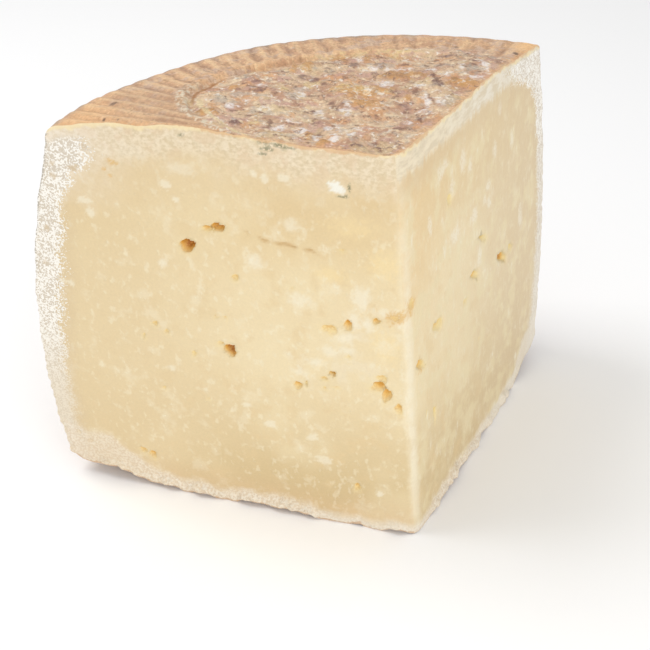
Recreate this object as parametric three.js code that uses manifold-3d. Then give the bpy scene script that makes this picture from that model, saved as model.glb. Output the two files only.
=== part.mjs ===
// A wedge of aged sheep's milk cheese: a little more than a quarter of a wheel, standing on its base.
// The wheel's axis is the working Z axis. Angles turn from +X towards +Y, and a "share" of 0 is the
// right cut, 1 the left cut. The finished wedge is moved so that its origin is under its middle.
import * as THREE from 'three';
import { mergeVertices } from 'three/addons/utils/BufferGeometryUtils.js';
import Module from 'manifold-3d';

// Driving dimensions, in millimetres and degrees
const CROWN_HEIGHT = 126.3;
const CUT_ANGLE = { right: 61.7, left: 162.4 };
const EDGE_FOOT = [3.2, -7.4];
const EDGE_HEAD = [-5.1, -6.5];
// The near edge is blunt: how far back that reaches, and the share of it that the edge itself moves
const BLUNT = { reach: 2.6, share: 0.6 };

// The side: its widest radius, the height of that, and the radius of its curve up and down
const SIDE = {
  widest: { right: 113.0, left: 116.8 },
  height: { right: 55, left: 44 },
  curve: { right: 227, left: 205 },
};
const BAND_PITCH = 16;
const BAND_DEPTH = 0.45;

// The top: a low dome, and a raised ridge round it that falls away to the rim, further where the rim dips
const DOME = { height: 0.9, width: 34 };
const RIDGE = { radius: 62, inside: 24, outside: 50, right: 0.3, left: 3.0 };
const FALL = { from: 60, over: 44, right: 3.5, left: 2.7 };
const FALL_POWER = { right: 0.9, left: 2.0 };
const DIP = { share: 0.72, width: 0.16, fall: 1.66 };

// The sunken, flaky middle of the top and the crease round it, which both die away close to each cut
const RING = {
  radius: 76.5,
  left: { from: 138, to: 170, inwards: 28, power: 1.6 },
  right: { from: 72, over: 12, inwards: 5 },
};
const SUNK = { right: 0.5, left: 1.4 };
const CREASE_DEPTH = { right: 0.35, left: 0.9 };
const CREASE_HALF = 2.0;
const RIM_HEIGHT = { right: 0.2, left: 0.6 };
const ENDING = { from: 0.84, over: 0.15 };
const CRAG = { size: 9, height: 0.9, seed: 3 };

// Flutes that run from the crease to the rim and fade down the side: their pitch in degrees, the turn of
// one groove at a radius of 92, and how many degrees a millimetre they lean back towards the left cut
const FLUTE_PITCH = 3.74;
const FLUTE_FIRST = { turn: 89.5, radius: 92 };
const FLUTE_LEAN = { most: 0.23, from: 88, over: 40 };
const FLUTE_DEPTH = { right: 0.35, left: 0.85 };
const FLUTE_FADE = 34;
// Where the flutes die away towards the rim, and how much of them is left there and on the side
const FLUTE_RIM = { from: 92, over: 12, rest: 0.25 };

// The underside: flat in the middle, lifted towards the rim
const FOOT_RADIUS = 84;
const LIFT = { over: 13, height: 4.9 };

const SHOULDER = { right: 2.6, left: 5.5 };
const HEEL = 9.0;
const CRUST = { top: 2.2, side: 2.8, base: 3.2 };

// The broken crust along the foot of each cut: how far it stands out, how high it is nibbled, the size
// of its lumps, and how far in from the cut the nibbling reaches
const LIP = { out: 1.7, least: 0.45, up: 1.6, size: 7, reach: 13, seed: 11 };

// A shallow scar on the left cut face where a flake of paste came away beside the near edge
const SCAR = { from: 17, height: 63, halfWidth: 17, halfHeight: 13, tilt: -38, depth: 0.7, steepness: 3 };

// Eyes in the paste, each as distance from the near edge, height above the base, width, upright width,
// depth, and tilt in degrees. Their walls are a little lumpy.
const EYE_LUMPS = { height: 0.16, perRadius: 1.7, seedShift: 9 };
const EYES = {
  left: [
    [62.0, 93.6, 4.0, 3.8, 3.0, 0], [52.4, 100.4, 3.8, 2.8, 2.4, 20], [55.4, 100.0, 3.6, 1.5, 1.2, 0],
    [48.9, 85.3, 2.0, 2.2, 1.5, 0], [53.8, 60.0, 3.4, 3.8, 2.8, 25], [56.6, 62.0, 3.0, 1.3, 0.9, -15],
    [76.9, 65.3, 1.8, 1.8, 1.2, 0], [73.5, 63.0, 1.8, 1.8, 1.2, 0], [65.8, 56.6, 1.7, 2.4, 1.0, 0],
    [21.9, 72.7, 4.2, 3.6, 1.4, 0], [16.8, 74.6, 2.6, 3.8, 2.4, 10], [8.6, 77.6, 2.4, 2.2, 1.8, 0],
    [22.9, 56.9, 2.0, 1.9, 1.8, 0], [25.5, 54.9, 2.8, 1.3, 1.0, 20], [33.8, 51.1, 1.9, 2.8, 1.6, 0],
    [8.0, 57.9, 3.4, 3.6, 2.2, 0], [9.0, 55.2, 4.6, 3.4, 2.6, 0], [6.8, 52.2, 2.2, 4.8, 1.8, 15],
    [3.2, 48.2, 3.0, 3.4, 2.2, 0], [18.1, 15.8, 2.3, 3.5, 2.0, 0], [90.0, 14.6, 2.4, 2.6, 1.5, 0],
    [87.2, 13.8, 2.8, 3.2, 1.7, 0], [113.0, 17.0, 1.8, 3.0, 1.2, 0], [3.0, 79.4, 6.6, 2.8, 1.7, 8],
  ],
  right: [
    [76.0, 61.1, 4.6, 3.6, 2.2, 15], [58.4, 76.7, 4.6, 2.0, 1.2, -10], [51.2, 67.1, 3.6, 3.6, 1.6, 0],
    [32.4, 101.6, 2.2, 3.0, 1.0, 0], [21.2, 65.9, 4.0, 4.6, 1.2, -30], [7.8, 59.7, 4.0, 4.6, 2.4, 0],
    [16.9, 36.6, 2.6, 5.8, 1.1, 0], [4.4, 81.6, 2.8, 5.2, 1.8, 0],
  ],
};

// How finely each stretch is divided
const STEPS = {
  topInner: 15, flutes: 6, arc: 3, side: 17, lift: 3, foot: 22,
  face: 22, faceUp: 22, columnsPerFlute: 4, innerSpacing: 5, sideColumns: 84, footColumns: 9, heelColumns: 40,
};

const radians = THREE.MathUtils.degToRad;
const mix = (a, b, t) => a + (b - a) * t;
const between = (pair, share) => mix(pair.right, pair.left, share);
const smooth = (t) => THREE.MathUtils.smoothstep(t, 0, 1);
const positive = (v) => Math.max(v, 0);
const bell = (t) => Math.exp(-t * t);

// A repeatable number from 0 to 1 for each whole-numbered cell
const CELL = { alongX: 127.1, alongY: 311.7, perSeed: 74.7, stretch: 43758.5453 };
function cellValue(i, j, seed) {
  const wave = Math.sin(i * CELL.alongX + j * CELL.alongY + seed * CELL.perSeed) * CELL.stretch;
  return wave - Math.floor(wave);
}

// Soft random lumps from -1 to 1, one cell apart
function lumps(x, y, seed) {
  const i = Math.floor(x);
  const j = Math.floor(y);
  const a = smooth(x - i);
  const b = smooth(y - j);
  const near = mix(cellValue(i, j, seed), cellValue(i + 1, j, seed), a);
  const far = mix(cellValue(i, j + 1, seed), cellValue(i + 1, j + 1, seed), a);
  return mix(near, far, b) * 2 - 1;
}

// The near edge leans, so each height has its own corner of the cut
function edgeAt(z) {
  const t = z / CROWN_HEIGHT;
  return [mix(EDGE_FOOT[0], EDGE_HEAD[0], t), mix(EDGE_FOOT[1], EDGE_HEAD[1], t)];
}

const cutAngle = (share) => radians(between(CUT_ANGLE, share));

// A point at a distance from the near edge in the upright plane of one share
function spot(distance, z, share) {
  const [x, y] = edgeAt(z);
  const angle = cutAngle(share);
  return [x + distance * Math.cos(angle), y + distance * Math.sin(angle), z];
}

// The distance from the near edge at which that plane meets a given radius about the axis
function distanceTo(radius, z, share) {
  const [x, y] = edgeAt(z);
  const angle = cutAngle(share);
  const along = x * Math.cos(angle) + y * Math.sin(angle);
  return -along + Math.sqrt(along * along - x * x - y * y + radius * radius);
}

const turnOf = (x, y) => THREE.MathUtils.radToDeg(Math.atan2(y, x));

// Grooves across the flutes: 0 on a rib, 1 in the bottom of a groove
function groove(turn, radius) {
  const lean = FLUTE_LEAN.most * smooth((turn - FLUTE_LEAN.from) / FLUTE_LEAN.over);
  const root = turn + lean * (radius - FLUTE_FIRST.radius) - FLUTE_FIRST.turn;
  const wave = 0.5 + 0.5 * Math.cos((root / FLUTE_PITCH) * 2 * Math.PI);
  return wave * wave;
}

function sideRadius(z, share) {
  const off = z - between(SIDE.height, share);
  return between(SIDE.widest, share) - (off * off) / (2 * between(SIDE.curve, share));
}

// The side's own relief: flutes fading down from the shoulder, and the soft bands of the mould
function sideRelief(z, turn, share) {
  const below = positive(CROWN_HEIGHT - z);
  const grooves = groove(turn, sideRadius(z, share));
  const flutes = FLUTE_RIM.rest * between(FLUTE_DEPTH, share) * grooves * Math.exp(-below / FLUTE_FADE);
  const bands = BAND_DEPTH * (0.5 + 0.5 * Math.cos((below / BAND_PITCH) * 2 * Math.PI));
  return -flutes - bands;
}

// The crease's radius: even round the back, turning inwards to meet each cut
function creaseRadius(turn) {
  const { left, right } = RING;
  const nearLeft = THREE.MathUtils.clamp((turn - left.from) / (left.to - left.from), 0, 1);
  const nearRight = THREE.MathUtils.clamp((right.from - turn) / right.over, 0, 1);
  return RING.radius - left.inwards * nearLeft ** left.power - right.inwards * nearRight;
}

function topHeight(x, y, share) {
  const radius = Math.hypot(x, y);
  const turn = turnOf(x, y);
  const width = radius < RIDGE.radius ? RIDGE.inside : RIDGE.outside;
  const dome = CROWN_HEIGHT + DOME.height * bell(radius / DOME.width);
  const crown = dome + between(RIDGE, share) * bell((radius - RIDGE.radius) / width);
  const rimFall = between(FALL, share) + DIP.fall * bell((share - DIP.share) / DIP.width);
  const fallen = rimFall * (positive(radius - FALL.from) / FALL.over) ** between(FALL_POWER, share);
  const ending = smooth((Math.max(share, 1 - share) - ENDING.from) / ENDING.over);
  const past = radius - creaseRadius(turn);
  const inside = smooth(-past / CREASE_HALF + 0.5);
  const outside = 1 - inside;
  const middle = smooth(1 - radius / RIDGE.radius);
  const sunk = between(SUNK, share) * inside * (1 - middle);
  const crease = between(CREASE_DEPTH, share) * bell(past / CREASE_HALF);
  const rim = between(RIM_HEIGHT, share) * bell((past - CREASE_HALF) / CREASE_HALF);
  const lump = lumps(x / CRAG.size, y / CRAG.size, CRAG.seed) * smooth(radius / CRAG.size);
  const crags = CRAG.height * inside * lump;
  const dying = mix(1, FLUTE_RIM.rest, smooth((radius - FLUTE_RIM.from) / FLUTE_RIM.over));
  const grooves = groove(turn, radius) * outside * smooth(past / (2 * CREASE_HALF)) * dying;
  const flutes = between(FLUTE_DEPTH, share) * grooves;
  return crown - fallen + (rim - sunk - crease) * (1 - ending) + crags - flutes;
}

// The underside's height: the foot is flat, and only its broken cut edge is nibbled upwards
function baseHeight(radius, toCut, along) {
  const lift = LIFT.height * smooth((radius - FOOT_RADIUS) / LIFT.over);
  const nibble = LIP.up * positive(lumps(along / LIP.size, 0, LIP.seed)) * smooth(1 - toCut / LIP.reach);
  return lift + nibble;
}

// Points of one upright section, by share: each row of the skin is one of these held for all shares
function topSpot(distance, share) {
  const [x, y] = spot(distance, CROWN_HEIGHT, share);
  return [x, y, topHeight(x, y, share)];
}

function sideSpot(z, share) {
  let [x, y] = spot(distanceTo(sideRadius(z, share), z, share), z, share);
  const radius = sideRadius(z, share) + sideRelief(z, turnOf(x, y), share);
  [x, y] = spot(distanceTo(radius, z, share), z, share);
  return [x, y, z];
}

function baseSpot(distance, share) {
  const [x, y] = spot(distance, 0, share);
  const span = Math.abs(cutAngle(0) - cutAngle(1));
  const toCut = distance * span * Math.min(share, 1 - share);
  return [x, y, baseHeight(Math.hypot(x, y), toCut, share < 0.5 ? -distance : distance)];
}

// Where the top would meet the side, and the side the underside, if their corner weren't rounded
const shoulder = (share) => between(SHOULDER, share);
function shoulderDistance(share) {
  return distanceTo(sideRadius(CROWN_HEIGHT - shoulder(share), share), CROWN_HEIGHT, share);
}
const shoulderTop = (share) => topSpot(shoulderDistance(share), share)[2];
const heelDistance = (share) => distanceTo(sideRadius(LIFT.height + HEEL / 2, share), 0, share);

// A rounded corner from one point round a corner point to another
function arcSpot(from, corner, to, t) {
  const a = (1 - t) * (1 - t);
  const b = 2 * t * (1 - t);
  return from.map((v, k) => a * v + b * corner[k] + t * t * to[k]);
}

function shoulderSpot(t, share) {
  const from = topSpot(shoulderDistance(share) - shoulder(share), share);
  const to = sideSpot(shoulderTop(share) - shoulder(share), share);
  return arcSpot(from, [to[0], to[1], shoulderTop(share)], to, t);
}

function heelSpot(t, share) {
  const from = sideSpot(LIFT.height + HEEL, share);
  const to = baseSpot(heelDistance(share) - HEEL, share);
  return arcSpot(from, [from[0], from[1], to[2]], to, t);
}

function creaseDistance(share) {
  let distance = RING.radius;
  for (let pass = 0; pass < 4; pass += 1) {
    const [x, y] = spot(distance, CROWN_HEIGHT, share);
    distance = distanceTo(creaseRadius(turnOf(x, y)), CROWN_HEIGHT, share);
  }
  return distance;
}

// Points close to the near edge move into the wedge along its middle line
function blunt([x, y, z]) {
  const [ex, ey] = edgeAt(z);
  const [right, left] = [cutAngle(0), cutAngle(1)];
  const [dx, dy] = [x - ex, y - ey];
  const turn = Math.sin(left - right);
  const alongRight = (dx * Math.sin(left) - dy * Math.cos(left)) / turn;
  const alongLeft = (dy * Math.cos(right) - dx * Math.sin(right)) / turn;
  const move = BLUNT.share * BLUNT.reach * Math.exp(-positive(alongRight + alongLeft) / BLUNT.reach);
  const middle = (left + right) / 2;
  return [x + move * Math.cos(middle), y + move * Math.sin(middle), z];
}

const vertices = [];
const triangles = [];
function addPoint(point) {
  vertices.push(blunt(point));
  return vertices.length - 1;
}
function addTriangle(a, b, c) {
  triangles.push([a, b, c]);
}

// Joins two rows of points that need not have the same number, taking whichever comes next along them
function stitch(first, second, flip) {
  let i = 0;
  let j = 0;
  while (i < first.length - 1 || j < second.length - 1) {
    const firstNext = i < first.length - 1 ? first[i + 1].along : Infinity;
    const secondNext = j < second.length - 1 ? second[j + 1].along : Infinity;
    const third = secondNext <= firstNext ? second[j + 1].id : first[i + 1].id;
    const corners = [first[i].id, second[j].id, third];
    if (flip) corners.reverse();
    addTriangle(...corners);
    if (secondNext <= firstNext) j += 1;
    else i += 1;
  }
}

// Shares for one row: even, with one more close to each cut
const CLOSE = 0.25;
function shares(count) {
  const list = Array.from({ length: count + 1 }, (_, k) => k / count);
  const close = CLOSE / count;
  list.splice(1, 0, close);
  list.splice(list.length - 1, 0, 1 - close);
  return list;
}

function makeRow(count, spotAt) {
  return shares(count).map((share) => ({ along: share, id: addPoint(spotAt(share)) }));
}

// The skin's rows, from the top of the near edge out over the top, down the side and back underneath
function skinRows() {
  const fluteColumns = Math.round(((CUT_ANGLE.left - CUT_ANGLE.right) / FLUTE_PITCH) * STEPS.columnsPerFlute);
  const rows = { top: [], side: [], base: [] };
  const span = cutAngle(1) - cutAngle(0);
  for (let k = 1; k <= STEPS.topInner; k += 1) {
    const part = k / STEPS.topInner;
    const columns = Math.ceil((part * RING.radius * span) / STEPS.innerSpacing) + 2;
    rows.top.push(makeRow(columns, (share) => topSpot(part * (creaseDistance(share) - CREASE_HALF), share)));
  }
  for (const past of [0, CREASE_HALF]) {
    rows.top.push(makeRow(fluteColumns, (share) => topSpot(creaseDistance(share) + past, share)));
  }
  for (let k = 1; k <= STEPS.flutes; k += 1) {
    const part = k / STEPS.flutes;
    rows.top.push(makeRow(fluteColumns, (share) => {
      const from = creaseDistance(share) + CREASE_HALF;
      return topSpot(mix(from, shoulderDistance(share) - shoulder(share), part), share);
    }));
  }
  for (let k = 1; k < STEPS.arc; k += 1) {
    rows.top.push(makeRow(fluteColumns, (share) => shoulderSpot(k / STEPS.arc, share)));
  }
  for (let k = 0; k <= STEPS.side; k += 1) {
    rows.side.push(makeRow(STEPS.sideColumns, (share) => {
      const high = shoulderTop(share) - shoulder(share);
      return sideSpot(mix(high, LIFT.height + HEEL, k / STEPS.side), share);
    }));
  }
  for (let k = 1; k < STEPS.arc; k += 1) {
    rows.base.push(makeRow(STEPS.heelColumns, (share) => heelSpot(k / STEPS.arc, share)));
  }
  const footDistance = (share) => distanceTo(FOOT_RADIUS, 0, share);
  for (let k = 0; k <= STEPS.lift; k += 1) {
    rows.base.push(makeRow(STEPS.heelColumns, (share) => {
      const from = heelDistance(share) - HEEL;
      return baseSpot(mix(from, footDistance(share), k / STEPS.lift), share);
    }));
  }
  for (let k = 1; k < STEPS.foot; k += 1) {
    const part = 1 - k / STEPS.foot;
    rows.base.push(makeRow(STEPS.footColumns, (share) => baseSpot(part * footDistance(share), share)));
  }
  return rows;
}

// A cut face's outward direction
function faceOutward(share) {
  const angle = cutAngle(share);
  const sign = share > 0.5 ? 1 : -1;
  return [-sign * Math.sin(angle), sign * Math.cos(angle)];
}

function scarDepth(distance, z) {
  const tilt = radians(SCAR.tilt);
  const [ds, dz] = [distance - SCAR.from, z - SCAR.height];
  const across = (ds * Math.cos(tilt) + dz * Math.sin(tilt)) / SCAR.halfWidth;
  const up = (-ds * Math.sin(tilt) + dz * Math.cos(tilt)) / SCAR.halfHeight;
  return SCAR.depth * smooth((1 - Math.hypot(across, up)) * SCAR.steepness);
}

// One cut face's paste: a grid from the near edge to just inside the crust
function faceGrid(share) {
  const [nx, ny] = faceOutward(share);
  const grid = [];
  for (let i = 0; i <= STEPS.face; i += 1) {
    const column = [];
    for (let j = 0; j <= STEPS.faceUp; j += 1) {
      const up = j / STEPS.faceUp;
      const guess = mix(LIFT.height, CROWN_HEIGHT, up);
      const reach = distanceTo(sideRadius(guess, share), guess, share) - CRUST.side;
      const distance = (i / STEPS.face) * reach;
      const low = baseSpot(distance, share)[2] + CRUST.base;
      const high = topSpot(distance, share)[2] - CRUST.top;
      const z = mix(low, high, up);
      const [x, y] = spot(distance, z, share);
      const inwards = share > 0.5 && i > 0 ? scarDepth(distance, z) : 0;
      column.push({ distance, z, point: [x - nx * inwards, y - ny * inwards, z] });
    }
    grid.push(column);
  }
  return grid;
}

function layFace(grid, share, nearEdge) {
  const ids = [nearEdge, ...grid.slice(1).map((column) => column.map((node) => addPoint(node.point)))];
  for (let i = 0; i < STEPS.face; i += 1) {
    for (let j = 0; j < STEPS.faceUp; j += 1) {
      const [a, b, c, d] = [ids[i][j], ids[i + 1][j], ids[i + 1][j + 1], ids[i][j + 1]];
      if (share > 0.5) {
        addTriangle(a, d, c);
        addTriangle(a, c, b);
      } else {
        addTriangle(a, b, c);
        addTriangle(a, c, d);
      }
    }
  }
  const last = STEPS.face;
  const top = ids.map((column, i) => ({ along: i / last, id: column[STEPS.faceUp] }));
  const side = ids[last].slice(1, -1).reverse().map((id, k) => ({ along: 1 + (k + 1) / STEPS.faceUp, id }));
  const base = ids.map((column, i) => ({ along: 3 - i / last, id: column[0] })).reverse();
  return [...top, ...side, ...base];
}

// The skin's own edge at one cut, in step with the paste's border
function skinBorder(rows, share, head, foot) {
  const atCut = (row) => (share > 0.5 ? row[row.length - 1].id : row[0].id);
  const atPart = (row, from, part) => ({ along: from + part, id: atCut(row) });
  const stretch = (list, from, parts) => list.map((row, k) => atPart(row, from, (k + 1) / parts));
  const top = stretch(rows.top, 0, rows.top.length);
  const side = stretch(rows.side, 1, rows.side.length);
  const base = stretch(rows.base, 2, rows.base.length + 1);
  return [{ along: 0, id: head }, ...top, ...side, ...base, { along: 3, id: foot }];
}

// The broken lower crust stands a little proud of each cut face
function pushOutLip(rows, share) {
  const [nx, ny] = faceOutward(share);
  for (const row of rows.base) {
    const id = share > 0.5 ? row[row.length - 1].id : row[0].id;
    const [x, y] = vertices[id];
    const along = Math.hypot(x, y) / LIP.size;
    const lump = LIP.least + (1 - LIP.least) * lumps(along, share * 2 + 1, LIP.seed);
    const out = LIP.out * positive(lump) * smooth(along);
    vertices[id][0] += nx * out;
    vertices[id][1] += ny * out;
  }
}

function makeBody() {
  const rows = skinRows();
  const head = addPoint(topSpot(0, 0.5));
  const foot = addPoint([...edgeAt(0), 0]);
  const chain = [...rows.top, ...rows.side, ...rows.base];
  stitch([{ along: 0.5, id: head }], chain[0], false);
  for (let k = 1; k < chain.length; k += 1) stitch(chain[k - 1], chain[k], false);
  stitch(chain[chain.length - 1], [{ along: 0.5, id: foot }], false);
  pushOutLip(rows, 0);
  pushOutLip(rows, 1);
  const nearEdge = faceGrid(0)[0].map((node) => addPoint(node.point));
  for (const share of [0, 1]) {
    const paste = layFace(faceGrid(share), share, nearEdge);
    stitch(paste, skinBorder(rows, share, head, foot), share < 0.5);
  }
}

// An eye's hollow: a lumpy ellipsoid sunk into the cut face
function eyeHollow([distance, z, width, height, depth, tilt], share, seed) {
  const ball = new THREE.IcosahedronGeometry(1, 1);
  const place = ball.attributes.position;
  const point = new THREE.Vector3();
  for (let k = 0; k < place.count; k += 1) {
    point.fromBufferAttribute(place, k);
    const [i, j] = [point.x, point.z + point.y].map((v) => v * EYE_LUMPS.perRadius + EYE_LUMPS.seedShift);
    const swell = 1 + EYE_LUMPS.height * lumps(i, j, seed);
    place.setXYZ(k, point.x * swell, point.y * swell, point.z * swell);
  }
  const [x, y] = spot(distance, z, share);
  ball.scale(width / 2, depth, height / 2);
  ball.rotateY(radians(tilt));
  ball.rotateZ(cutAngle(share));
  ball.translate(...blunt([x, y, z]));
  return ball;
}

const wasm = await Module();
wasm.setup();

function toSolid(geometry) {
  const bare = geometry.clone();
  bare.deleteAttribute('normal');
  bare.deleteAttribute('uv');
  const joined = mergeVertices(bare, 1e-4);
  const mesh = new wasm.Mesh({
    numProp: 3,
    vertProperties: new Float32Array(joined.attributes.position.array),
    triVerts: new Uint32Array(joined.index.array),
  });
  return new wasm.Manifold(mesh);
}

function bodyGeometry() {
  makeBody();
  const geometry = new THREE.BufferGeometry();
  geometry.setAttribute('position', new THREE.Float32BufferAttribute(vertices.flat(), 3));
  geometry.setIndex(triangles.flat());
  return geometry;
}

function cutEyes(body) {
  let result = body;
  for (const [name, share] of [['left', 1], ['right', 0]]) {
    EYES[name].forEach((eye, k) => {
      result = result.subtract(toSolid(eyeHollow(eye, share, k + 1)));
    });
  }
  return result;
}

function toGeometry(solid) {
  const { numProp, vertProperties, triVerts } = solid.getMesh();
  const positions = [];
  for (let k = 0; k < vertProperties.length; k += numProp) {
    positions.push(vertProperties[k], vertProperties[k + 1], vertProperties[k + 2]);
  }
  const geometry = new THREE.BufferGeometry();
  geometry.setAttribute('position', new THREE.Float32BufferAttribute(positions, 3));
  geometry.setIndex(Array.from(triVerts));
  geometry.computeBoundingBox();
  const { min, max } = geometry.boundingBox;
  geometry.translate(-(min.x + max.x) / 2, -(min.y + max.y) / 2, -min.z);
  geometry.computeVertexNormals();
  return geometry;
}

const paste = new THREE.MeshStandardMaterial({ color: 0xe8d5ab, roughness: 0.55, metalness: 0 });
const wedge = new THREE.Mesh(toGeometry(cutEyes(toSolid(bodyGeometry()))), paste);
wedge.name = 'cheese_wedge';

const cheese = new THREE.Group();
cheese.add(wedge);

export default cheese;
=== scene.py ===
"""A wedge of aged sheep's milk cheese on a pale floor: the paste inside and the crust round it.

Everything is worked out in millimetres in the wheel's own frame, as in the solid model: the wheel's
axis is Z, angles turn from +X towards +Y, and a "share" of 0 is the right cut and 1 the left cut.
The finished pieces are then moved into the part's frame and scaled to metres.
"""

import math

import bpy
import numpy as np
from mathutils import Matrix, Vector


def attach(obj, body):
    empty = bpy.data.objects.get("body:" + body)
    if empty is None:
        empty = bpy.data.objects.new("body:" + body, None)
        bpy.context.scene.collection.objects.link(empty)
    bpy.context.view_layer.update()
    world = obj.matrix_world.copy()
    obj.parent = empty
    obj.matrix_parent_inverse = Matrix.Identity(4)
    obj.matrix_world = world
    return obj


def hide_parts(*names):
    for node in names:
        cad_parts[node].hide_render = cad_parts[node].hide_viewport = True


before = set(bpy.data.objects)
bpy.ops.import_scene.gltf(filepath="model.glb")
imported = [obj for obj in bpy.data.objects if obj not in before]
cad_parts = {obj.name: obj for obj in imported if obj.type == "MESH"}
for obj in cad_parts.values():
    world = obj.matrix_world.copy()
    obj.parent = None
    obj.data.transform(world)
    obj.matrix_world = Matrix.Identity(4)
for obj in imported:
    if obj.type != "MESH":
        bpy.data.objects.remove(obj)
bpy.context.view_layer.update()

MM = 0.001

# The wedge's driving dimensions
CROWN_HEIGHT = 126.3
CUT_ANGLE = (61.7, 162.4)
EDGE_FOOT = (3.2, -7.4)
EDGE_HEAD = (-5.1, -6.5)
BLUNT_REACH, BLUNT_SHARE = 2.6, 0.6
# Pairs give the value at the right cut and at the left cut
SIDE_WIDEST, SIDE_HEIGHT, SIDE_CURVE = (113.0, 116.8), (55, 44), (227, 205)
BAND_PITCH, BAND_DEPTH = 16, 0.45
DOME_HEIGHT, DOME_WIDTH = 0.9, 34
RIDGE_RADIUS, RIDGE_INSIDE, RIDGE_OUTSIDE, RIDGE_RISE = 62, 24, 50, (0.3, 3.0)
FALL_FROM, FALL_OVER, FALL_POWER, FALL_DROP = 60, 44, (0.9, 2.0), (3.5, 2.7)
DIP_SHARE, DIP_WIDTH, DIP_FALL = 0.72, 0.16, 1.66
RING_RADIUS = 76.5
RING_LEFT = dict(start=138, end=170, inwards=28, power=1.6)
RING_RIGHT = dict(start=72, over=12, inwards=5)
SUNK, CREASE_DEPTH, CREASE_HALF, RIM_HEIGHT = (0.5, 1.4), (0.35, 0.9), 2.0, (0.2, 0.6)
ENDING_FROM, ENDING_OVER = 0.84, 0.15
CRAG_SIZE, CRAG_HEIGHT, CRAG_SEED = 9, 0.9, 3
FLUTE_PITCH, FLUTE_FIRST, FLUTE_RADIUS = 3.74, 89.5, 92
LEAN_MOST, LEAN_FROM, LEAN_OVER = 0.23, 88, 40
FLUTE_DEPTH, FLUTE_FADE, FLUTE_UNEVEN = (0.35, 0.85), 34, 0.3
FLUTE_RIM, FLUTE_RIM_OVER, FLUTE_REST = 92, 12, 0.25
FOOT_RADIUS, LIFT_OVER, LIFT_HEIGHT = 84, 13, 4.9
SHOULDER, HEEL = (2.6, 5.5), 9.0
CRUST_BASE = 3.2
LIP = dict(out=1.7, least=0.45, up=1.6, size=7, reach=13, seed=11)
# The right cut's lip dies away over this stretch, down to a share of its height
LIP_FADE_TO, LIP_FADE_OVER, LIP_FADED = 94, 20, 0.15
CHIP_SIZE, CHIP_HEIGHT, CHIP_REACH = 2.3, 0.9, 4
# Where the working frame's origin lies in the part's frame
TO_PART = np.array([28.082, -53.595, 0.0])

# The camera, in the part's frame, and the photograph's size
CAMERA_AT = np.array([3.96, -305.4, 236.1])
CAMERA_PITCH, CAMERA_ROLL = 32.741, -1.1185
FOCAL_PIXELS, PHOTO_PIXELS, SENSOR = 1073.34, 650, 36.0

# How many steps the skin has along one upright section, and round the wheel
TOP_STEPS, ARC_STEPS, SIDE_STEPS, HEEL_STEPS = 194, 12, 196, 20
BORDER_STEPS = TOP_STEPS + ARC_STEPS // 2
UPRIGHT_STEPS = ARC_STEPS // 2 + SIDE_STEPS + HEEL_STEPS // 2
BASE_STEPS = BORDER_STEPS - HEEL_STEPS // 2
ROUND_STEPS = 208
HIDDEN_SHARES = 6
# How far a cut's moved border draws the skin after it
BORDER_REACH = 1.8
# The hidden joint between crust and paste is the skin, shrunk towards a point inside the wedge
HEART = np.array([-14.0, 42.0, 62.0])
PASTE_SCALE, CRUST_SCALE = 0.958, 0.962

GRAIN_TURN = np.array(Matrix.Rotation(0.7, 3, "X") @ Matrix.Rotation(0.9, 3, "Z"))


# Small helpers
def mix(a, b, t):
    """A straight blend: a at t = 0, b at t = 1."""
    return a + (b - a) * t


def between(pair, share):
    """The right cut's value blended into the left cut's by share."""
    return pair[0] + (pair[1] - pair[0]) * share


def smooth(t):
    """0 below 0, 1 above 1, and 3t^2 - 2t^3 between."""
    t = np.clip(t, 0, 1)
    return t * t * (3 - 2 * t)


def bell(t):
    """exp(-t^2)."""
    return np.exp(-t * t)


def positive(v):
    """v where it is above 0, and 0 elsewhere."""
    return np.maximum(v, 0)


def cell_value(i, j, k):
    """A repeatable number from 0 to 1 for each whole-numbered cell: the fraction of a steep sine."""
    wave = np.sin(i * 127.1 + j * 311.7 + k * 74.7) * 43758.5453
    return wave - np.floor(wave)


def lumps(x, y, seed):
    """Soft random lumps from -1 to 1, one cell apart: corner values blended with smooth steps."""
    i, j = np.floor(x), np.floor(y)
    a, b = smooth(x - i), smooth(y - j)
    near = mix(cell_value(i, j, seed), cell_value(i + 1, j, seed), a)
    far = mix(cell_value(i, j + 1, seed), cell_value(i + 1, j + 1, seed), a)
    return mix(near, far, b) * 2 - 1


def grain(points, size, seed):
    """Soft random lumps in space from -1 to 1, size apart: lumps() on two layers, blended upwards."""
    turned = points @ GRAIN_TURN / size + seed * 7.31
    k = np.floor(turned[..., 2])
    rise = smooth(turned[..., 2] - k)
    low = lumps(turned[..., 0], turned[..., 1], k + seed * 0.37)
    high = lumps(turned[..., 0], turned[..., 1], k + 1 + seed * 0.37)
    return mix(low, high, rise)


def rough(points, size, seed, octaves=3):
    """Grain at several sizes, each half the last and half as high."""
    total = sum(grain(points, size / 2**n, seed + n) / 2**n for n in range(octaves))
    return total / (2 - 2.0 ** (1 - octaves))


# The wheel's form
def edge_at(z):
    """The near edge's place at each height: a straight line from its foot to its head."""
    t = z / CROWN_HEIGHT
    return mix(EDGE_FOOT[0], EDGE_HEAD[0], t), mix(EDGE_FOOT[1], EDGE_HEAD[1], t)


def cut_angle(share):
    """The angle of one share's upright plane in radians: the two cuts' angles blended by share."""
    return np.radians(between(CUT_ANGLE, share))


def spot(distance, z, share):
    """The point at a distance from the near edge in the upright plane of one share."""
    ex, ey = edge_at(z)
    angle = cut_angle(share)
    x, y = ex + distance * np.cos(angle), ey + distance * np.sin(angle)
    return np.stack(np.broadcast_arrays(x, y, z), -1)


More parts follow.
